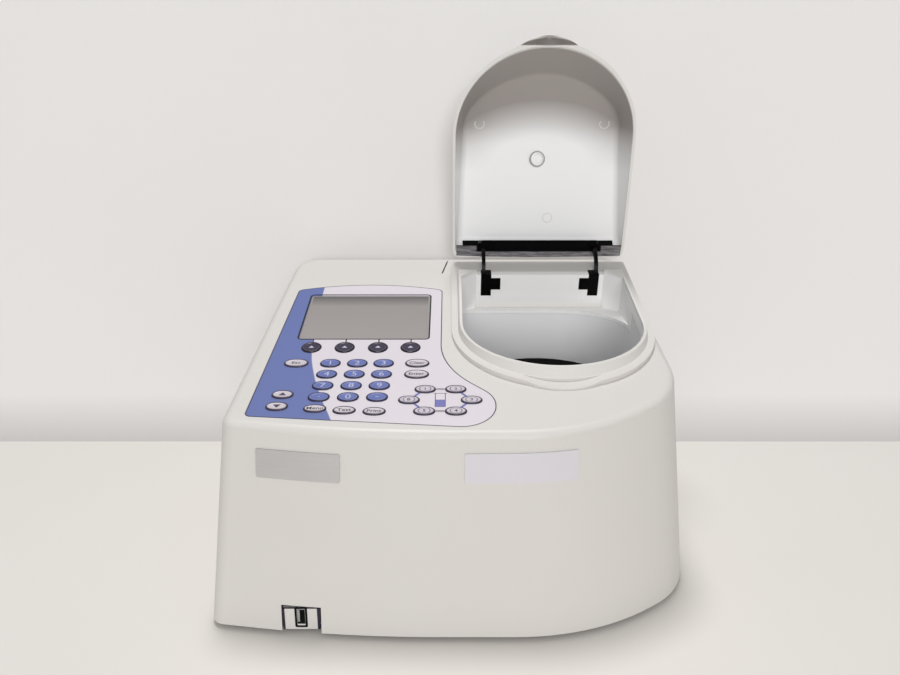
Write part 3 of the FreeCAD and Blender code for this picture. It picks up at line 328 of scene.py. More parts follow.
def shadeLid(material, panelColour, crownShadeColour, lipShadeColour):
    # inward = own direction against the way from the centre
    # inner = depth behind the rim x the larger of facing forward and facing inward
    tree = material.node_tree
    coordinates = tree.nodes.new("ShaderNodeTexCoord")
    facing = splitAxes(tree, coordinates.outputs["Normal"])
    spot = splitAxes(tree, coordinates.outputs["Object"])
    offX = mathNode(tree, "SUBTRACT", spot["X"], lidShade["x"])
    offZ = mathNode(tree, "SUBTRACT", spot["Z"], lidShade["z"])
    sideways, upward = product(tree, offX, facing["X"]), product(tree, offZ, facing["Z"])
    away = mathNode(tree, "ADD", sideways, upward)
    inward = between(tree, away, *lidShade["inward"])
    forward = between(tree, facing["Y"], *lidShade["forward"])
    leaning = product(tree, spot["Z"], lidShade["lean"])
    depth = mathNode(tree, "SUBTRACT", mathNode(tree, "ADD", spot["Y"], leaning), lidShade["rimY"])
    inner = mathNode(tree, "MAXIMUM", forward, inward)
    inner = product(tree, inner, between(tree, depth, *lidShade["depth"]))
    # painted light: the inner faces toned paler
    retone(material, inner, panelColour)
    narrow = product(tree, offX, lidShade["wide"])
    reach = between(tree, diagonal(tree, narrow, offZ), *lidShade["reach"])
    crown = product(tree, reach, between(tree, spot["Z"], *lidShade["height"]))
    # painted shade in the crown
    retone(material, product(tree, crown, inner), crownShadeColour)
    lipZ = mathNode(tree, "SUBTRACT", spot["Z"], lidShade["lipZ"])
    lipReach = between(tree, diagonal(tree, offX, lipZ), *lidShade["lipReach"])
    lip = product(tree, between(tree, spot["Z"], *lidShade["lipFoot"]), lipReach)
    # painted shade under the finger lip
    retone(material, product(tree, lip, forward), lipShadeColour)


housingLook = {"colour": (215, 212, 208), "aged": (211, 207, 201), "amount": 0.6, "roughness": 0.42,
               "grainDepth": 0.000014, "wellLight": (252, 251, 250)}
# The lid's inner faces carry painted light, its crown and finger lip painted shade
lidLook = {"colour": (224, 222, 219), "aged": (219, 216, 212), "amount": 0.6, "roughness": 0.42,
           "grainDepth": 0.000012, "panel": (241, 241, 241), "crownShade": (158, 152, 148), "lip": (112, 107, 102)}
# The sample well is coloured paler than the cover as painted light, standing in for light that reaches into
# it
litWellLook = {"colour": (240, 240, 241), "aged": (234, 234, 235), "amount": 0.6, "roughness": 0.5}
blackLook = {"colour": (5, 5, 6), "aged": (9, 9, 9), "amount": 0.8, "roughness": 0.36, "specular": 0.1}
carouselLook = {"colour": (3, 3, 3), "aged": (6, 6, 6), "amount": 0.8, "roughness": 0.6, "specular": 0.02}
rubberLook = {"colour": (24, 24, 24), "aged": (40, 39, 38), "amount": 0.8, "roughness": 0.8,
              "grainDepth": 0.00004}
boardLook = {"colour": (26, 88, 48), "aged": (20, 70, 40), "amount": 0.7, "roughness": 0.35}
panLook = {"colour": (48, 46, 45), "aged": (40, 38, 37), "amount": 0.6, "roughness": 0.42,
           "grainDepth": 0.00003}
# Key caps: rim is a painted highlight, side a painted shade
softKeyLook = {"colour": (62, 54, 72), "aged": (52, 45, 62), "amount": 0.7, "roughness": 0.3,
               "rim": (108, 100, 122), "side": (26, 21, 34)}
blueKeyLook = {"colour": (104, 116, 176), "aged": (96, 107, 166), "amount": 0.6, "roughness": 0.34,
               "rim": (152, 161, 208), "side": (42, 42, 82)}
lightKeyLook = {"colour": (205, 197, 203), "aged": (197, 189, 196), "amount": 0.6, "roughness": 0.36,
                "rim": (214, 208, 213), "side": (66, 58, 76)}
# Painted shade in the gaps round the key caps and round the front notch's plate
gapShadeLook = {"colour": (30, 24, 44), "aged": (48, 40, 66), "amount": 0.8, "roughness": 0.5}
frameInkLook = {"colour": (8, 7, 12), "aged": (20, 17, 24), "amount": 0.6, "roughness": 0.5}
inkLook = {"colour": (62, 58, 74), "aged": (74, 70, 88), "amount": 0.7, "roughness": 0.45}
violetInkLook = {"colour": (110, 112, 176), "aged": (122, 124, 184), "amount": 0.7, "roughness": 0.45}
whiteInkLook = {"colour": (196, 198, 222), "aged": (184, 187, 214), "amount": 0.6, "roughness": 0.45}
cellInkLook = {"colour": (104, 94, 132), "aged": (116, 106, 144), "amount": 0.8, "roughness": 0.5}
# Painted shade along the film's edge
edgeShadeLook = {"colour": (48, 45, 54), "aged": (92, 88, 98), "amount": 1.0, "roughness": 0.5}
bezelHighlightLook = {"colour": (152, 147, 146), "aged": (162, 157, 155), "amount": 0.7, "roughness": 0.35}
pinShadeLook = {"colour": (222, 221, 220), "aged": (217, 216, 213), "amount": 0.6, "roughness": 0.4}
middleShadeLook = {"colour": (142, 142, 140), "aged": (150, 150, 147), "amount": 0.6, "roughness": 0.4}
steelLook = {"colour": (196, 197, 198), "roughness": 0.32, "brush": (30.0, 900.0, 900.0)}
aluminiumLook = {"colour": (184, 187, 190), "roughness": 0.4, "brush": (300.0, 300.0, 300.0)}

housingPlastic = finishPlastic("housingPlastic", housingLook)
paintWellLight(housingPlastic, housingLook["wellLight"])
lidPlastic = finishPlastic("lidPlastic", lidLook)
shadeLid(lidPlastic, lidLook["panel"], lidLook["crownShade"], lidLook["lip"])
litWellPlastic = finishPlastic("litWellPlastic", litWellLook)
blackPlastic = finishPlastic("blackPlastic", blackLook)
carouselPlastic = finishPlastic("carouselPlastic", carouselLook)
footRubber = finishPlastic("footRubber", rubberLook)
boardResin = finishPlastic("boardResin", boardLook)
panPaint = finishPlastic("panPaint", panLook)
softKeyPlastic = finishPlastic("softKeyPlastic", softKeyLook)
blueKeyPlastic = finishPlastic("blueKeyPlastic", blueKeyLook)
lightKeyPlastic = finishPlastic("lightKeyPlastic", lightKeyLook)
darkInk = finishPlastic("darkInk", inkLook)
gapShade = finishPlastic("gapShade", gapShadeLook)
frameInk = finishPlastic("frameInk", frameInkLook)
violetInk = finishPlastic("violetInk", violetInkLook)
whiteInk = finishPlastic("whiteInk", whiteInkLook)
cellInk = finishPlastic("cellInk", cellInkLook)
edgeShade = finishPlastic("edgeShade", edgeShadeLook)
bezelHighlight = finishPlastic("bezelHighlight", bezelHighlightLook)
pinShade = finishPlastic("pinShade", pinShadeLook)
pinRing = finishPlastic("pinRing", middleShadeLook)
plainSteel = finishMetal("plainSteel", steelLook)
castAluminium = finishMetal("castAluminium", aluminiumLook)


def slopeValue(tree, where):
    # distance up the deck's slope in metres, from the Y of a point on it
    split = splitAxes(tree, where)
    lifted = mathNode(tree, "SUBTRACT", split["Y"], deckFront["y"])
    return split["X"], mathNode(tree, "DIVIDE", lifted, deckCos)


# Printed film of the keypad: a blue field whose right edge curves down beside the number keys
filmLook = {
    "blue": (95, 108, 166), "blueAged": (102, 115, 171), "pale": (219, 212, 219), "paleAged": (213, 205, 211),
    "edge": [(0.0, -0.0925), (0.020, -0.0990), (0.043, -0.1080), (0.084, -0.1207), (0.116, -0.1268),
             (0.250, -0.1325)],
    "span": 0.250, "left": -0.170, "across": 0.100, "sharpness": 120.0, "amount": 0.6, "grainScale": 1800.0,
    "grainDepth": 0.00001, "roughness": 0.42,
}


def finishFilm():
    # share of blue = how far a point lies left of the curved edge x the sharpness, kept within 0 and 1
    material, tree, shader, where = newMaterial("keypadFilm")
    across, slope = slopeValue(tree, where)
    curve = tree.nodes.new("ShaderNodeFloatCurve")
    line = curve.mapping.curves[0]
    spots = [(v / filmLook["span"], (x - filmLook["left"]) / filmLook["across"]) for v, x in filmLook["edge"]]
    line.points[0].location, line.points[1].location = spots[0], spots[-1]
    for spot in spots[1:-1]:
        line.points.new(*spot)
    curve.mapping.update()
    tree.links.new(mathNode(tree, "DIVIDE", slope, filmLook["span"]), curve.inputs["Value"])
    place = mathNode(tree, "DIVIDE", mathNode(tree, "SUBTRACT", across, filmLook["left"]), filmLook["across"])
    gap = mathNode(tree, "SUBTRACT", curve.outputs[0], place)
    field = product(tree, gap, filmLook["sharpness"], True)
    tones = [agedNode(tree, where, filmLook[key], filmLook[key + "Aged"], filmLook["amount"])["Color"]
             for key in ("pale", "blue")]
    tree.links.new(mixColour(tree, field, *tones), shader.inputs["Base Color"])
    layBump(tree, shader, grainNode(tree, where, filmLook["grainScale"])["Height"], filmLook["grainDepth"])
    shader.inputs["Roughness"].default_value = filmLook["roughness"]
    return material


# Switched-off display behind its window: grey, with painted shade darker along the far edge
displayLook = {
    # top is the painted shade along the far edge
    "top": (90, 86, 86), "middle": (154, 148, 145), "low": (161, 154, 153), "stops": (0.03, 0.26, 0.95),
    "cloud": (0.2, 0.2, 0.2, 1), "cloudNoise": (22.0, 2.0), "cloudShare": 0.08, "roughness": 0.22,
    "coat": 0.3, "coatRoughness": 0.08,
}


def finishDisplay(low, high):
    # painted shade: tone by the distance down from the far edge, as a share of the display's height
    material, tree, shader, where = newMaterial("displayFace")
    slope = slopeValue(tree, where)[1]
    drop = mathNode(tree, "SUBTRACT", high[1], slope)
    ramp = tree.nodes.new("ShaderNodeValToRGB")
    share = mathNode(tree, "DIVIDE", drop, float(high[1] - low[1]), True)
    tree.links.new(share, ramp.inputs["Fac"])
    stops = ramp.color_ramp.elements
    stops[0].position, stops[0].color = displayLook["stops"][0], linear(*displayLook["top"])
    stops[1].position, stops[1].color = displayLook["stops"][2], linear(*displayLook["low"])
    middle = stops.new(displayLook["stops"][1])
    middle.color = linear(*displayLook["middle"])
    cloud = product(tree, noiseNode(tree, where, *displayLook["cloudNoise"]), displayLook["cloudShare"])
    clouded = mixColour(tree, cloud, ramp.outputs["Color"], displayLook["cloud"])
    tree.links.new(clouded, shader.inputs["Base Color"])
    shader.inputs["Roughness"].default_value = displayLook["roughness"]
    shader.inputs["Coat Weight"].default_value = displayLook["coat"]
    shader.inputs["Coat Roughness"].default_value = displayLook["coatRoughness"]
    return material


# Two bare plates on the front: brushed silver on the left, white film on the right
plateLook = {"silver": (202, 200, 199), "streak": 14, "white": (213, 210, 215), "split": -0.02, "metal": 0.55,
             "brush": (25.0, 25.0, 1500.0), "streaks": (3.0, 0.55), "roughness": 0.38}


def finishPlates():
    # one material for both, split by X, with streaks along the silver one
    material, tree, shader, where = newMaterial("facePlates")
    split = splitAxes(tree, where)
    right = mathNode(tree, "GREATER_THAN", split["X"], plateLook["split"])
    streaks = stretchedNoise(tree, where, plateLook["brush"], *plateLook["streaks"])
    dark = linear(*[c - plateLook["streak"] for c in plateLook["silver"]])
    silver = mixColour(tree, streaks, dark, linear(*plateLook["silver"]))
    tree.links.new(mixColour(tree, right, silver, linear(*plateLook["white"])), shader.inputs["Base Color"])
    metal = product(tree, mathNode(tree, "SUBTRACT", 1.0, right), plateLook["metal"])
    tree.links.new(metal, shader.inputs["Metallic"])
    shader.inputs["Roughness"].default_value = plateLook["roughness"]
    return material


windowLow, windowHigh = deckBox("display_window")
keypadFilm = finishFilm()
displayFace = finishDisplay(windowLow, windowHigh)
facePlates = finishPlates()

nodeFinishes = [
    (housingPlastic, ["main_cover", "front_usb_plate"]),
    (lidPlastic, ["sample_lid"]),
    (litWellPlastic, ["sample_well"]),
    (carouselPlastic, ["cell_carousel"]),
    (keypadFilm, ["keypad_overlay"]),
    (displayFace, ["display_window"]),
    (facePlates, ["face_plates"]),
    (boardResin, ["key_switch_board", "main_board"]),
    (panPaint, ["base_pan"]),
    (footRubber, ["rubber_feet"]),
    (plainSteel, ["front_usb_port", "rear_data_port", "cover_screws", "carousel_motor", "power_supply"]),
    (castAluminium, ["optical_bench", "lamp_module", "filter_wheel", "bench_optics", "diffraction_grating"]),
    (blackPlastic, ["hinge_guides", "lid_hinge_bar", "lid_hinge_arms", "display_module", "power_inlet",
                    "power_rocker", "filter_motor", "detector_module"]),
]
for material, names in nodeFinishes:
    for name in names:
        nodes[name].data.materials.clear()
        nodes[name].data.materials.append(material)
print("finishes assigned")


# Mesh helpers

def addPiece(name, points, faces, material, body, smooth=True):
    mesh = bpy.data.meshes.new(name)
    mesh.from_pydata(points.tolist(), [], [list(map(int, f)) for f in faces])
    mesh.polygons.foreach_set("use_smooth", [smooth] * len(mesh.polygons))
    mesh.materials.append(material)
    mesh.update()
    piece = bpy.data.objects.new(name, mesh)
    bpy.context.scene.collection.objects.link(piece)
    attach(piece, body)
    return piece


def stripFaces(rows, columns):
    # quads between neighbouring rings of a grid, wrapped round
    r, c = np.meshgrid(np.arange(rows - 1), np.arange(columns), indexing="ij")
    after = (c + 1) % columns
    quads = np.stack([r * columns + c, r * columns + after, (r + 1) * columns + after,
                      (r + 1) * columns + c], -1)
    return quads.reshape(-1, 4)


rightHalf = np.linspace(-math.pi / 2, math.pi / 2, 24)
ringTurn = np.concatenate([rightHalf, rightHalf + math.pi])  # angles round a ring, as two half circles
ringSide = np.repeat([1.0, -1.0], len(rightHalf))


def stadiumRing(half, centre=(0.0, 0.0)):
    # outline of a slot: half circles as high as the slot, moved apart by what is left of its length
    straight = max(half[0] - half[1], 0.0) * ringSide
    return centre[0] + straight + half[1] * np.cos(ringTurn), centre[1] + half[1] * np.sin(ringTurn)


def ovalRing(half, power, centre=(0.0, 0.0)):
    # squared ellipse: cosine and sine raised to 2 / power, with their signs kept
    c, q = np.cos(ringTurn), np.sin(ringTurn)
    return (centre[0] + half[0] * np.sign(c) * np.abs(c) ** (2 / power),
            centre[1] + half[1] * np.sign(q) * np.abs(q) ** (2 / power))


def printBand(name, body, material, inner, outer, w):
    # flat band between two outlines with matching points
    points = np.vstack([fromDeck(outer[0], outer[1], w), fromDeck(inner[0], inner[1], w)])
    return addPiece(name, points, stripFaces(2, len(inner[0])), material, body, False)


def printLine(name, body, material, start, end, width, w):
    # flat bar between two points
    start, end = np.array(start), np.array(end)
    along = (end - start) / np.linalg.norm(end - start)
    side = np.array([-along[1], along[0]]) * width / 2
    corners = np.array([start - side, end - side, end + side, start + side])
    return addPiece(name, fromDeck(corners[:, 0], corners[:, 1], w), [[0, 1, 2, 3]], material, body, False)


def printShape(name, body, material, corners, w):
    corners = np.array(corners)
    face = list(range(len(corners)))
    return addPiece(name, fromDeck(corners[:, 0], corners[:, 1], w), [face], material, body, False)


def printWord(name, body, material, text, centre, height, w, stretch=1.0, weight=-0.004):
    # lettering as a flat mesh laid on the deck
    curve = bpy.data.curves.new(name, "FONT")
    curve.body, curve.size, curve.align_x, curve.align_y = text, 1.0, "CENTER", "CENTER"
    curve.resolution_u = 3
    curve.offset = weight
    holder = bpy.data.objects.new(name + "Curve", curve)
    mesh = bpy.data.meshes.new_from_object(holder)
    flat = np.zeros(len(mesh.vertices) * 3)
    mesh.vertices.foreach_get("co", flat)
    flat = flat.reshape(-1, 3)
    middle = (flat.min(0) + flat.max(0)) / 2
    flat = (flat - middle) * height
    placed = fromDeck(centre[0] + flat[:, 0] * stretch, centre[1] + flat[:, 1], w)
    mesh.vertices.foreach_set("co", placed.ravel())
    mesh.materials.clear()
    mesh.materials.append(material)
    mesh.update()
    bpy.data.objects.remove(holder)
    bpy.data.curves.remove(curve)
    piece = bpy.data.objects.new(name, mesh)
    bpy.context.scene.collection.objects.link(piece)
    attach(piece, body)
    return piece


# Keys: each dished cap stands for its CAD key and carries its own print
capLook = {
    "flangeMargin": 0.0008, "ring": 0.0004, "shadeDrop": 0.0003, "ringGap": 0.00003, "ringLift": 0.0001,
    "power": 2.25, "edge": 0.0008, "rim": 0.0007, "lower": 0.0002, "slope": 0.0008, "dish": 0.00030,
    "floor": (0.7, 0.985), "foot": -0.0020, "skirtShare": 0.99, "skirtReach": 0.0007, "skirtLift": 0.00005,
    "printLift": 0.00005, "markInner": (0.0043, 0.0028), "markOuter": (0.0050, 0.0036),
}
wideShare, menuShare, arrowShare = (0.97, 1.0), (0.85, 0.82), (0.95, 0.95)
capShares = {"soft": (1.03, 1.03), "cell": (0.93, 0.91), "up": arrowShare, "down": arrowShare,
             "first": menuShare, "second": menuShare, "third": menuShare,
             "escape": wideShare, "clear": wideShare, "enter": wideShare}
plainShare = (0.98, 1.0)
keyWords = {"point": ".", "minus": "-", "escape": "Esc", "clear": "Clear", "enter": "Enter", "first": "Menu",
            "second": "Test", "third": "Print", "cell_1": "B", "cell_2": "1", "cell_3": "2", "cell_4": "3",
            "cell_5": "5", "cell_6": "4"}
arrowLook = {"soft": 0.0021, "plain": 0.0027, "wide": 1.15, "foot": 0.7, "tip": 0.9}
digitLook = {"height": 0.0084, "stretch": 1.2, "wordHeight": 0.0050, "cellHeight": 0.0044,
             "wordWeight": 0.014}


def keyCap(name, body, material, centre, half, top):
    # rings of the cap's outline: up the side, over the edge, level across the rim and down into the dish
    turn = np.linspace(0, math.pi / 2, 6)
    dip = np.linspace(0, math.pi, 6)[1:]
    edge, rim, slope, dish = capLook["edge"], capLook["rim"], capLook["slope"], capLook["dish"]
    inset = np.concatenate([[0.0], edge * (1 - np.cos(turn)), [edge + rim],
                            edge + rim + slope * dip / math.pi, half[1] * np.array(capLook["floor"])])
    lift = np.concatenate([[capLook["foot"]], top - edge + edge * np.sin(turn), [top],
                           top - dish * (1 - np.cos(dip)) / 2, [top - dish, top - dish]])
    power = 2.0 if half[0] - half[1] < 0.0005 else capLook["power"]
    rings = [ovalRing(half - i, power, centre) for i in inset]
    points = np.vstack([fromDeck(u, v, h) for (u, v), h in zip(rings, lift)])
    count = len(ringTurn)
    faces = list(stripFaces(len(rings), count)) + [np.arange(count) + count * (len(rings) - 1)]
    piece = addPiece(name, points, faces, material, body)
    rimRing = len(turn) + 1
    # where the painted highlight and the painted shade lie on the cap, as point attributes
    rimHighlight, sideShade = np.zeros((2, len(rings), count))
    rimHighlight[rimRing] = 1.0
    sideShade[:rimRing] = 1.0
    sideShade[rimRing] = np.clip(2 * np.sin(ringTurn), 0, 1)  # a little further in along the far edge
    for band, share in (("rim", rimHighlight), ("side", sideShade)):
        piece.data.attributes.new(band, "FLOAT", "POINT").data.foreach_set("value", share.ravel())
    return piece


keySpots = {}
for name in sorted(nodes):
    if not name.startswith("key_") or name == "key_switch_board":
        continue
    low, high = deckBox(name)
    centre = (low + high)[:2] / 2
    full = (high - low)[:2] / 2 - capLook["flangeMargin"]
    outer = full * np.array(capShares.get(name.split("_")[1], plainShare))
    half = outer - capLook["ring"]
    top = high[2] - capLook["lower"]
    body = name + "_body"
    keySpots[name] = (centre, outer)
    numbered = name[4:].isdigit() or name in ("key_point", "key_minus")
    material = blueKeyPlastic if numbered else lightKeyPlastic
    if "soft" in name:
        material = softKeyPlastic
    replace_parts(keyCap(name + "Cap", body, material, centre, half, top), name)
    face = top - capLook["dish"] + capLook["printLift"]
    power = 2.0 if "soft" in name else capLook["power"]
    printBand(name + "Skirt", "housing", keypadFilm, ovalRing(outer * capLook["skirtShare"], power, centre),
              stadiumRing(full + capLook["skirtReach"], centre), capLook["skirtLift"])
    # painted shade in the gap round the cap, moved down towards its lower side
    dropped = centre - np.array([0.0, capLook["shadeDrop"]])
    printBand(name + "Ring", "housing", gapShade, ovalRing(half + capLook["ringGap"], power, centre),
              ovalRing(outer + np.array([0.0, capLook["shadeDrop"]]), power, dropped), capLook["ringLift"])
    if "soft" in name or name in ("key_up", "key_down"):
        tall = arrowLook["soft" if "soft" in name else "plain"] * (-1 if name == "key_down" else 1)
        wide, foot, tip = arrowLook["wide"] * tall, arrowLook["foot"] * tall, arrowLook["tip"] * tall
        shape = centre + np.array([(-wide, -foot), (wide, -foot), (0.0, tip)])
        printShape(name + "Arrow", body, whiteInk if "soft" in name else darkInk, shape, face)
    elif numbered:
        word = keyWords.get(name[4:], name[4:])
        printWord(name + "Print", body, whiteInk, word, centre, digitLook["height"], face,
                  digitLook["stretch"])
    else:
        word = keyWords[name[4:]]
        height = digitLook["wordHeight"] if len(word) > 1 else digitLook["cellHeight"]
        printWord(name + "Print", body, darkInk, word, centre, height, face, digitLook["stretch"],
                  digitLook["wordWeight"])
    if "cell" in name:
        printBand(name + "Cell", body, cellInk, stadiumRing(capLook["markInner"], centre),
                  stadiumRing(capLook["markOuter"], centre), face)
print("keys built:", len(keySpots))

# Print on the film round the keys and the display, with painted shade along the film's edge and a painted
# highlight on the window's bevel
filmPrint = {
    "lift": 0.00005, "fillLift": 0.000035, "linkLift": 0.00008, "windowLift": -0.00095,
    "windowBorder": 0.0026, "outlineWidth": 0.0008, "outlineGap": 0.00005, "frameWidth": 0.0015,
    "frameCorner": 0.0030, "frameGap": 0.0001, "bezelWidth": 0.0015, "bezelCorner": 0.0020,
    "tickWidth": 0.0012, "tickGaps": (0.0003, 0.0006), "linkOffset": 0.0008, "twinWidth": 0.00066,
    "slantWidth": 0.00209, "cuvetteWidth": 0.0080, "cuvetteHeight": 0.0185, "cuvetteLine": 0.0007,
    "cuvetteLip": 0.0014,
}
filmCorners = [(-0.1658, 0.0210, 0.005), (0.0298, 0.0050, 0.028), (0.0298, 0.0485, 0.028),
               (-0.0142, 0.0925, 0.087), (-0.0142, 0.2360, 0.007), (-0.0867, 0.2560, 0.233),
               (-0.1576, 0.2358, 0.006)]


def roundedRectangle(centre, half, corner, arcPoints=8):
    # four quarter circles joined round a centre
    turns = np.arange(4)[:, None] * math.pi / 2 + np.linspace(0, math.pi / 2, arcPoints)[None, :]
    signs = np.array([(1, 1), (-1, 1), (-1, -1), (1, -1)])
    across = centre[0] + signs[:, :1] * (half[0] - corner) + corner * np.cos(turns)
    along = centre[1] + signs[:, 1:] * (half[1] - corner) + corner * np.sin(turns)
    return across.ravel(), along.ravel()


def roundedOutline(corners, inset, arcPoints=14):
    # each corner moved in by the inset along both its sides, then rounded by an arc tangent to them
    rows = np.array(corners)
    spot, radius = rows[:, :2], rows[:, 2]
    ahead = np.roll(spot, -1, 0) - spot
    ahead /= np.linalg.norm(ahead, axis=1)[:, None]
    behind = np.roll(ahead, 1, 0)
    leftAhead = np.column_stack([-ahead[:, 1], ahead[:, 0]])
    leftBehind = np.column_stack([-behind[:, 1], behind[:, 0]])
    moved = spot + (leftAhead + leftBehind) * (inset / (1 + np.sum(leftAhead * leftBehind, 1)))[:, None]
    turn = behind[:, 0] * ahead[:, 1] - behind[:, 1] * ahead[:, 0]
    size = radius - inset * np.sign(turn)
    halfTurn = np.arccos(np.clip(np.sum(behind * ahead, 1), -1, 1)) / 2
    way = (leftAhead + leftBehind) * np.sign(turn)[:, None]
    way /= np.linalg.norm(way, axis=1)[:, None]
    middle = moved + way * (size / np.cos(halfTurn))[:, None]
    sweep = np.linspace(-1, 1, arcPoints)[None, :] * (halfTurn * np.sign(turn))[:, None]
    out = -way
    across = middle[:, :1] + size[:, None] * (out[:, :1] * np.cos(sweep) - out[:, 1:] * np.sin(sweep))
    along = middle[:, 1:] + size[:, None] * (out[:, :1] * np.sin(sweep) + out[:, 1:] * np.cos(sweep))
    return across.ravel(), along.ravel()


# painted shade along the film's edge
printBand("filmEdgeShade", "housing", edgeShade, roundedOutline(filmCorners, filmPrint["outlineWidth"]),
          roundedOutline(filmCorners, filmPrint["outlineGap"]), filmPrint["lift"])
windowCentre = (windowLow + windowHigh)[:2] / 2
windowHalf = (windowHigh - windowLow)[:2] / 2 - filmPrint["windowBorder"]
corner, wide = filmPrint["frameCorner"], filmPrint["frameWidth"]
frameInner = roundedRectangle(windowCentre, windowHalf + filmPrint["frameGap"], corner)
frameOuter = roundedRectangle(windowCentre, windowHalf + wide, corner + wide)
printBand("displayFrame", "housing", frameInk, frameInner, frameOuter, filmPrint["lift"])
# painted highlight along the window's bevelled edge, just inside the frame
bezelOuter = roundedRectangle(windowCentre, windowHalf, corner)
bezelInner = roundedRectangle(windowCentre, windowHalf - filmPrint["bezelWidth"], filmPrint["bezelCorner"])
printBand("displayBezel", "housing", bezelHighlight, bezelInner, bezelOuter, filmPrint["windowLift"])
for number in range(1, 5):
    centre, full = keySpots["key_soft_%d" % number]
    foot = (centre[0], centre[1] + full[1] + filmPrint["tickGaps"][0])
    tip = (centre[0], windowCentre[1] - windowHalf[1] - filmPrint["tickGaps"][1])
    printLine("displayTick%d" % number, "housing", darkInk, foot, tip, filmPrint["tickWidth"],
              filmPrint["lift"])

cellFull = keySpots["key_cell_1"][1]
levelLinks, slantLinks = ((2, 3), (6, 5)), ((1, 2), (3, 4), (4, 6), (5, 1))
for first, second in levelLinks + slantLinks:
    level = (first, second) in levelLinks
    a, b = keySpots["key_cell_%d" % first][0], keySpots["key_cell_%d" % second][0]
    reach = (b - a) / np.linalg.norm(b - a)
    # from a key's centre to its ring, that way
    clear = np.sum(np.abs(reach / cellFull) ** capLook["power"]) ** (-1 / capLook["power"])
    for side in ((-1, 1) if level else (0,)):
        shift = np.array([-reach[1], reach[0]]) * filmPrint["linkOffset"] * side
        start, end = a + reach * clear + shift, b - reach * clear + shift
        printLine("cellLink%d%d" % (first, 8 + 8 * side), "housing", darkInk if level else violetInk,
                  start, end, filmPrint["twinWidth" if level else "slantWidth"], filmPrint["linkLift"])

cellMiddle = np.mean([keySpots["key_cell_%d" % n][0] for n in range(1, 7)], axis=0)
cuvetteHalf = np.array([filmPrint["cuvetteWidth"], filmPrint["cuvetteHeight"]]) / 2
left, right = cellMiddle[0] - cuvetteHalf[0], cellMiddle[0] + cuvetteHalf[0]
low, high = cellMiddle[1] - cuvetteHalf[1], cellMiddle[1] + cuvetteHalf[1]
level, lip = cellMiddle[1], filmPrint["cuvetteLip"]
cuvetteLines = {"Left": ((left, low), (left, high)), "Right": ((right, low), (right, high)),
                "Foot": ((left, low), (right, low)), "Mouth": ((left - lip, high), (right + lip, high)),
                "Level": ((left, level), (right, level))}
for label, (start, end) in cuvetteLines.items():
    ink = violetInk if label == "Level" else cellInk
    printLine("cuvette" + label, "housing", ink, start, end, filmPrint["cuvetteLine"], filmPrint["lift"])
printShape("cuvetteFill", "housing", violetInk, [(left, low), (right, low), (right, level), (left, level)],
           filmPrint["fillLift"])
print("film print laid")


def surfaceSpot(name, start, way):
    # first place where a straight line from a point meets a node, with the surface's own direction there
    mesh = nodes[name].data
    mesh.calc_loop_triangles()
    corners = np.zeros(len(mesh.loop_triangles) * 3, dtype=np.int32)
    mesh.loop_triangles.foreach_get("vertices", corners)
    tree = BVHTree.FromPolygons(nodePoints(name).tolist(), corners.reshape(-1, 3).tolist())
    spot, normal = tree.ray_cast(start, way)[:2]
    return np.array(spot), np.array(normal)


# Painted shade inside the lid: faint rings where the moulding pins left round marks, and a stronger ring in
# its middle, by X and Z
pinLook = {"lift": 0.00012, "mark": (0.0052, 0.0044),
           "spots": [(0.0235, 0.378), (0.1510, 0.378), (0.0960, 0.282)],
           "ring": (0.0080, 0.0067), "ringSpot": (0.0834, 0.3431)}


def buildPinMarks():
    # flat rings laid on the lid's inner face, each as a circle in that face's own plane
    for number, (x, z) in enumerate(pinLook["spots"] + [pinLook["ringSpot"]]):
        faint = number < len(pinLook["spots"])
        outer, inner = pinLook["mark" if faint else "ring"]
        spot, normal = surfaceSpot("sample_lid", (x + outer, 0.0, z), (0.0, 1.0, 0.0))
        normal = normal if normal[1] < 0 else -normal
        side = np.cross(normal, (0.0, 0.0, 1.0))
        side /= np.linalg.norm(side)
        rise = np.cross(side, normal)
        side *= np.sign(side[0])
        middle = spot + normal * pinLook["lift"] - side * outer
        rings = [middle + r * (np.cos(ringTurn)[:, None] * side + np.sin(ringTurn)[:, None] * rise)
                 for r in (outer, inner)]
        material = pinShade if faint else pinRing
        addPiece("pinMark%d" % number, np.vstack(rings), stripFaces(2, len(ringTurn)), material, "lid", False)


buildPinMarks()

# Strip over the hinge bar and the lid's lower rim, black in the middle, with a painted reflection in streaky
# greys on its paler ends
stripLook = {
    "left": 0.0000, "right": 0.1727, "low": 0.2426, "high": 0.2613, "sag": 0.0016, "forward": 0.0001,
    "ends": 0.0605, "endHigh": 0.2558, "endGap": 0.0002, "columns": (6, 29, 6), "rows": 9,
    "bar": (0.2483, 0.2491), "middle": (0.0664, 0.0645), "topLine": (0.2549, 0.25535),
    "streakScale": (60.0, 60.0, 420.0), "streaks": (0.35, 0.65), "black": (3, 3, 4),
    # the next two greys are the painted reflection's lighter and darker tone
    "sheen": (142, 140, 143), "reflectionDusk": (84, 80, 83), "roughness": 0.4, "specular": 0.08,
}


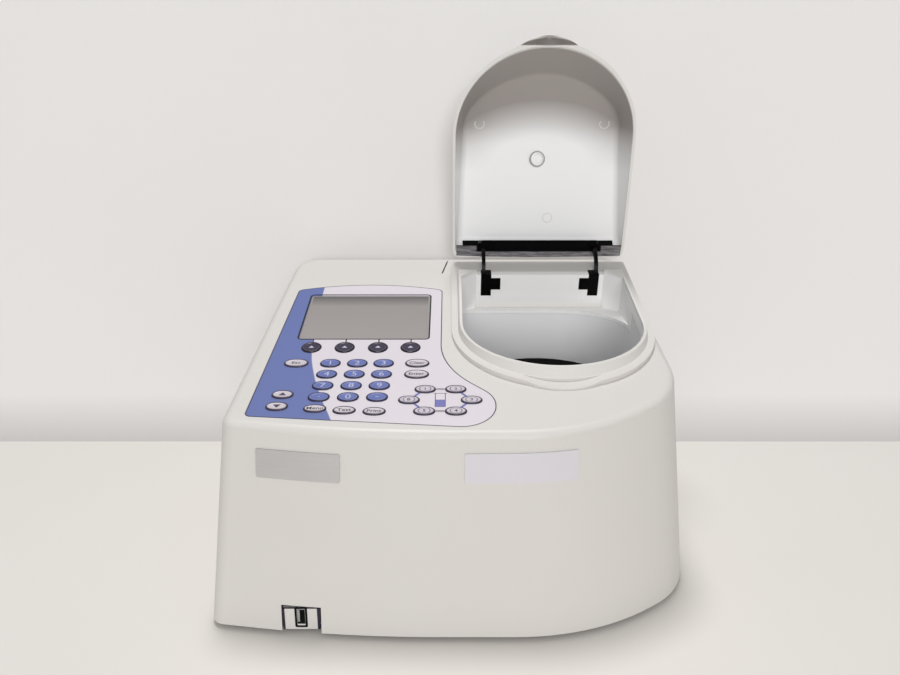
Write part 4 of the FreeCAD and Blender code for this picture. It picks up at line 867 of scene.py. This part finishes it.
def buildHingeStrip():
    # grid in the rim's leaning plane; its foot rises with the square of the distance from the middle
    # its ends are lower, so that the closed lid clears the collar
    first, last = lidShade["x"] - stripLook["ends"], lidShade["x"] + stripLook["ends"]
    gap, rows = stripLook["endGap"], stripLook["rows"]
    spans = ((stripLook["left"], first), (first + gap, last - gap), (last, stripLook["right"]))
    columns = np.concatenate([np.linspace(*span, count) for span, count in zip(spans, stripLook["columns"])])
    x, up = np.meshgrid(columns, np.linspace(0, 1, rows), indexing="ij")
    share = (x - stripLook["left"]) / (stripLook["right"] - stripLook["left"])
    foot = stripLook["low"] + stripLook["sag"] * (2 * share - 1) ** 2
    inMiddle = np.abs(x - lidShade["x"]) < stripLook["ends"] - gap / 2
    high = np.where(inMiddle, stripLook["high"], stripLook["endHigh"])
    z = foot + (high - foot) * up
    y = lidShade["rimY"] - lidShade["lean"] * z - stripLook["forward"]
    points = np.column_stack([x.ravel(), y.ravel(), z.ravel()])
    column, row = np.meshgrid(np.arange(len(columns) - 1), np.arange(rows - 1), indexing="ij")
    first = column * rows + row
    faces = np.stack([first, first + rows, first + rows + 1, first + 1], -1).reshape(-1, 4)
    material, tree, shader, where = newMaterial("hingeReflection")
    split = splitAxes(tree, where)
    offX = mathNode(tree, "ABSOLUTE", mathNode(tree, "SUBTRACT", split["X"], lidShade["x"]))
    # painted reflection: streaky grey between two tones, black over the bar's middle and along the top line
    streaks = between(tree, stretchedNoise(tree, where, stripLook["streakScale"]), *stripLook["streaks"])
    pale = mixColour(tree, streaks, linear(*stripLook["reflectionDusk"]), linear(*stripLook["sheen"]))
    core = between(tree, split["Z"], *stripLook["bar"])
    core = product(tree, core, between(tree, offX, *stripLook["middle"]))
    black = mathNode(tree, "MAXIMUM", core, between(tree, split["Z"], *stripLook["topLine"]))
    tree.links.new(mixColour(tree, black, pale, linear(*stripLook["black"])), shader.inputs["Base Color"])
    shader.inputs["Roughness"].default_value = stripLook["roughness"]
    shader.inputs["Specular IOR Level"].default_value = stripLook["specular"]
    addPiece("hingeStrip", points, faces, material, "lid")


buildHingeStrip()

# Front notch: a dark sheet of painted shade behind its gaps, painted shade along the edges round the small
# plate and in the gap round the port
notchLook = {
    "behind": 0.0030, "reach": 0.0022, "height": 0.0290, "low": 0.0048, "edge": 0.0011, "thick": 0.0022,
    "over": 0.0004, "forward": 0.0002, "shell": (0.0050, 0.0096), "shellWidth": 0.0017, "shellDown": 0.0004,
    "shellForward": 0.0001, "shellCorners": (0.0014, 0.0008),
}
plateLow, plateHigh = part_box("front_usb_plate")
portLow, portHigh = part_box("front_usb_port")


def uprightSheet(name, left, right, low, high, y, material):
    # rectangle facing the front
    corners = np.array([(left, y, low), (right, y, low), (right, y, high), (left, y, high)])
    return addPiece(name, corners, [[0, 1, 2, 3]], material, "housing", False)


def buildNotch():
    left, right, low, high = plateLow[0], plateHigh[0], plateLow[2], plateHigh[2]
    edge, over, reach = notchLook["edge"], notchLook["over"], notchLook["reach"]
    uprightSheet("notchShadeSheet", left - reach, right + reach, notchLook["low"], notchLook["height"],
                 plateLow[1] + notchLook["behind"], blackPlastic)
    y = plateLow[1] - notchLook["forward"]
    uprightSheet("notchLeft", left - over, left + edge, low, high, y, gapShade)
    uprightSheet("notchRight", right - notchLook["thick"], right + over, low, high, y, gapShade)
    uprightSheet("notchTop", left - over, right + over, high - edge, high + over, y, gapShade)


def buildPortShade():
    # painted shade in the gap round the port: a flat band between two rounded rectangles
    middle = ((portLow[0] + portHigh[0]) / 2, (portLow[2] + portHigh[2]) / 2 - notchLook["shellDown"])
    y = plateLow[1] - notchLook["forward"] - notchLook["shellForward"]
    half = np.array(notchLook["shell"])
    rings = [roundedRectangle(middle, half - inset, corner)
             for inset, corner in zip((0.0, notchLook["shellWidth"]), notchLook["shellCorners"])]
    points = np.vstack([np.column_stack([x, np.full(len(x), y), z]) for x, z in rings])
    addPiece("portShade", points, stripFaces(2, len(rings[0][0])), blackPlastic, "housing", False)


buildNotch()
buildPortShade()
print("lid marks, hinge strip and notch edges placed")

# Stage: a pale table and, where it ends, a pale wall, darkened by painted shade along its foot
stageLook = {
    "table": (235, 231, 226), "tableShade": (229, 225, 218), "wall": (238, 236, 235),
    "wallShade": (234, 232, 231), "wallFootShade": (202, 199, 199), "foot": (0.062, -0.004),
    "tableEnd": 0.194, "size": 14.0, "wallSize": 6.0, "patches": 2.2, "roughness": 0.7, "specular": 0.15,
}


def stageSheet(name, corners, material):
    mesh = bpy.data.meshes.new(name)
    mesh.from_pydata(corners, [], [(0, 1, 2, 3)])
    mesh.materials.append(material)
    sheet = bpy.data.objects.new(name, mesh)
    bpy.context.scene.collection.objects.link(sheet)


def stageMaterial(name, first, second):
    # two close tones in broad soft patches
    material, tree, shader, where = newMaterial(name)
    patches = noiseNode(tree, where, stageLook["patches"])
    tree.links.new(mixColour(tree, patches, linear(*first), linear(*second)), shader.inputs["Base Color"])
    shader.inputs["Roughness"].default_value = stageLook["roughness"]
    shader.inputs["Specular IOR Level"].default_value = stageLook["specular"]
    return material, tree, shader


def buildStage():
    # level floor, and an upright wall that only the camera sees, and only from the front
    size, wallSize = stageLook["size"], stageLook["wallSize"]
    tableTop = stageMaterial("tableTop", stageLook["table"], stageLook["tableShade"])[0]
    stageSheet("floor", [(-size, -size, 0), (size, -size, 0), (size, size, 0), (-size, size, 0)], tableTop)
    wall, tree, shader = stageMaterial("backWall", stageLook["wall"], stageLook["wallShade"])
    height = splitAxes(tree, tree.nodes.new("ShaderNodeTexCoord").outputs["Object"])["Z"]
    # painted shade: the wall darkens towards the table
    retone(wall, between(tree, height, *stageLook["foot"]), stageLook["wallFootShade"])
    seen = tree.nodes.new("ShaderNodeLightPath").outputs["Is Camera Ray"]
    behind = tree.nodes.new("ShaderNodeNewGeometry").outputs["Backfacing"]
    share = product(tree, seen, mathNode(tree, "SUBTRACT", 1.0, behind))
    clear = tree.nodes.new("ShaderNodeBsdfTransparent")
    blend = tree.nodes.new("ShaderNodeMixShader")
    tree.links.new(share, blend.inputs[0])
    tree.links.new(clear.outputs[0], blend.inputs[1])
    tree.links.new(shader.outputs[0], blend.inputs[2])
    tree.links.new(blend.outputs[0], tree.nodes["Material Output"].inputs["Surface"])
    y = stageLook["tableEnd"]
    corners = [(-wallSize, y, 0), (wallSize, y, 0), (wallSize, y, wallSize), (-wallSize, y, wallSize)]
    stageSheet("backWall", corners, wall)


buildStage()

# Soft studio light: a pale world, a broad low fill in front and a lamp overhead, just behind
lightLook = {"world": (0.985, 0.99, 1.0), "worldStrength": 0.35,
             "lamps": [("frontFill", (0.2, -5.0, 1.7), (0.0, 0.0, 0.15), 2.4, 128.0),
                       ("overheadLamp", (-0.1, 0.45, 2.6), (0.0, 0.0, 0.1), 0.7, 34.0)]}
world = bpy.data.worlds.new("paleRoom")
world.use_nodes = True
background = world.node_tree.nodes["Background"]
background.inputs["Color"].default_value = lightLook["world"] + (1.0,)
background.inputs["Strength"].default_value = lightLook["worldStrength"]
bpy.context.scene.world = world
for name, place, target, size, power in lightLook["lamps"]:
    lamp = bpy.data.lights.new(name, "AREA")
    lamp.shape, lamp.size, lamp.energy = "DISK", size, power
    holder = bpy.data.objects.new(name, lamp)
    aim = np.array(target) - np.array(place)
    holder.location = place
    holder.rotation_euler = (math.acos(-aim[2] / np.linalg.norm(aim)), 0, math.atan2(-aim[0], aim[1]))
    bpy.context.scene.collection.objects.link(holder)

# Camera at the photograph's viewing angle
cameraLook = {"place": (-0.0067, -0.6966, 0.4230), "down": 18.0, "lens": 32.0, "sensor": 36.0}
camera = bpy.data.objects.new("photoCamera", bpy.data.cameras.new("photoCamera"))
camera.location = cameraLook["place"]
camera.rotation_euler = (math.radians(90 - cameraLook["down"]), 0, 0)
camera.data.lens, camera.data.sensor_width = cameraLook["lens"], cameraLook["sensor"]
camera.data.clip_start, camera.data.clip_end = 0.01, 50.0
bpy.context.scene.collection.objects.link(camera)
bpy.context.scene.camera = camera
bpy.context.scene.view_settings.view_transform = "Standard"
print("stage, lights and camera set")
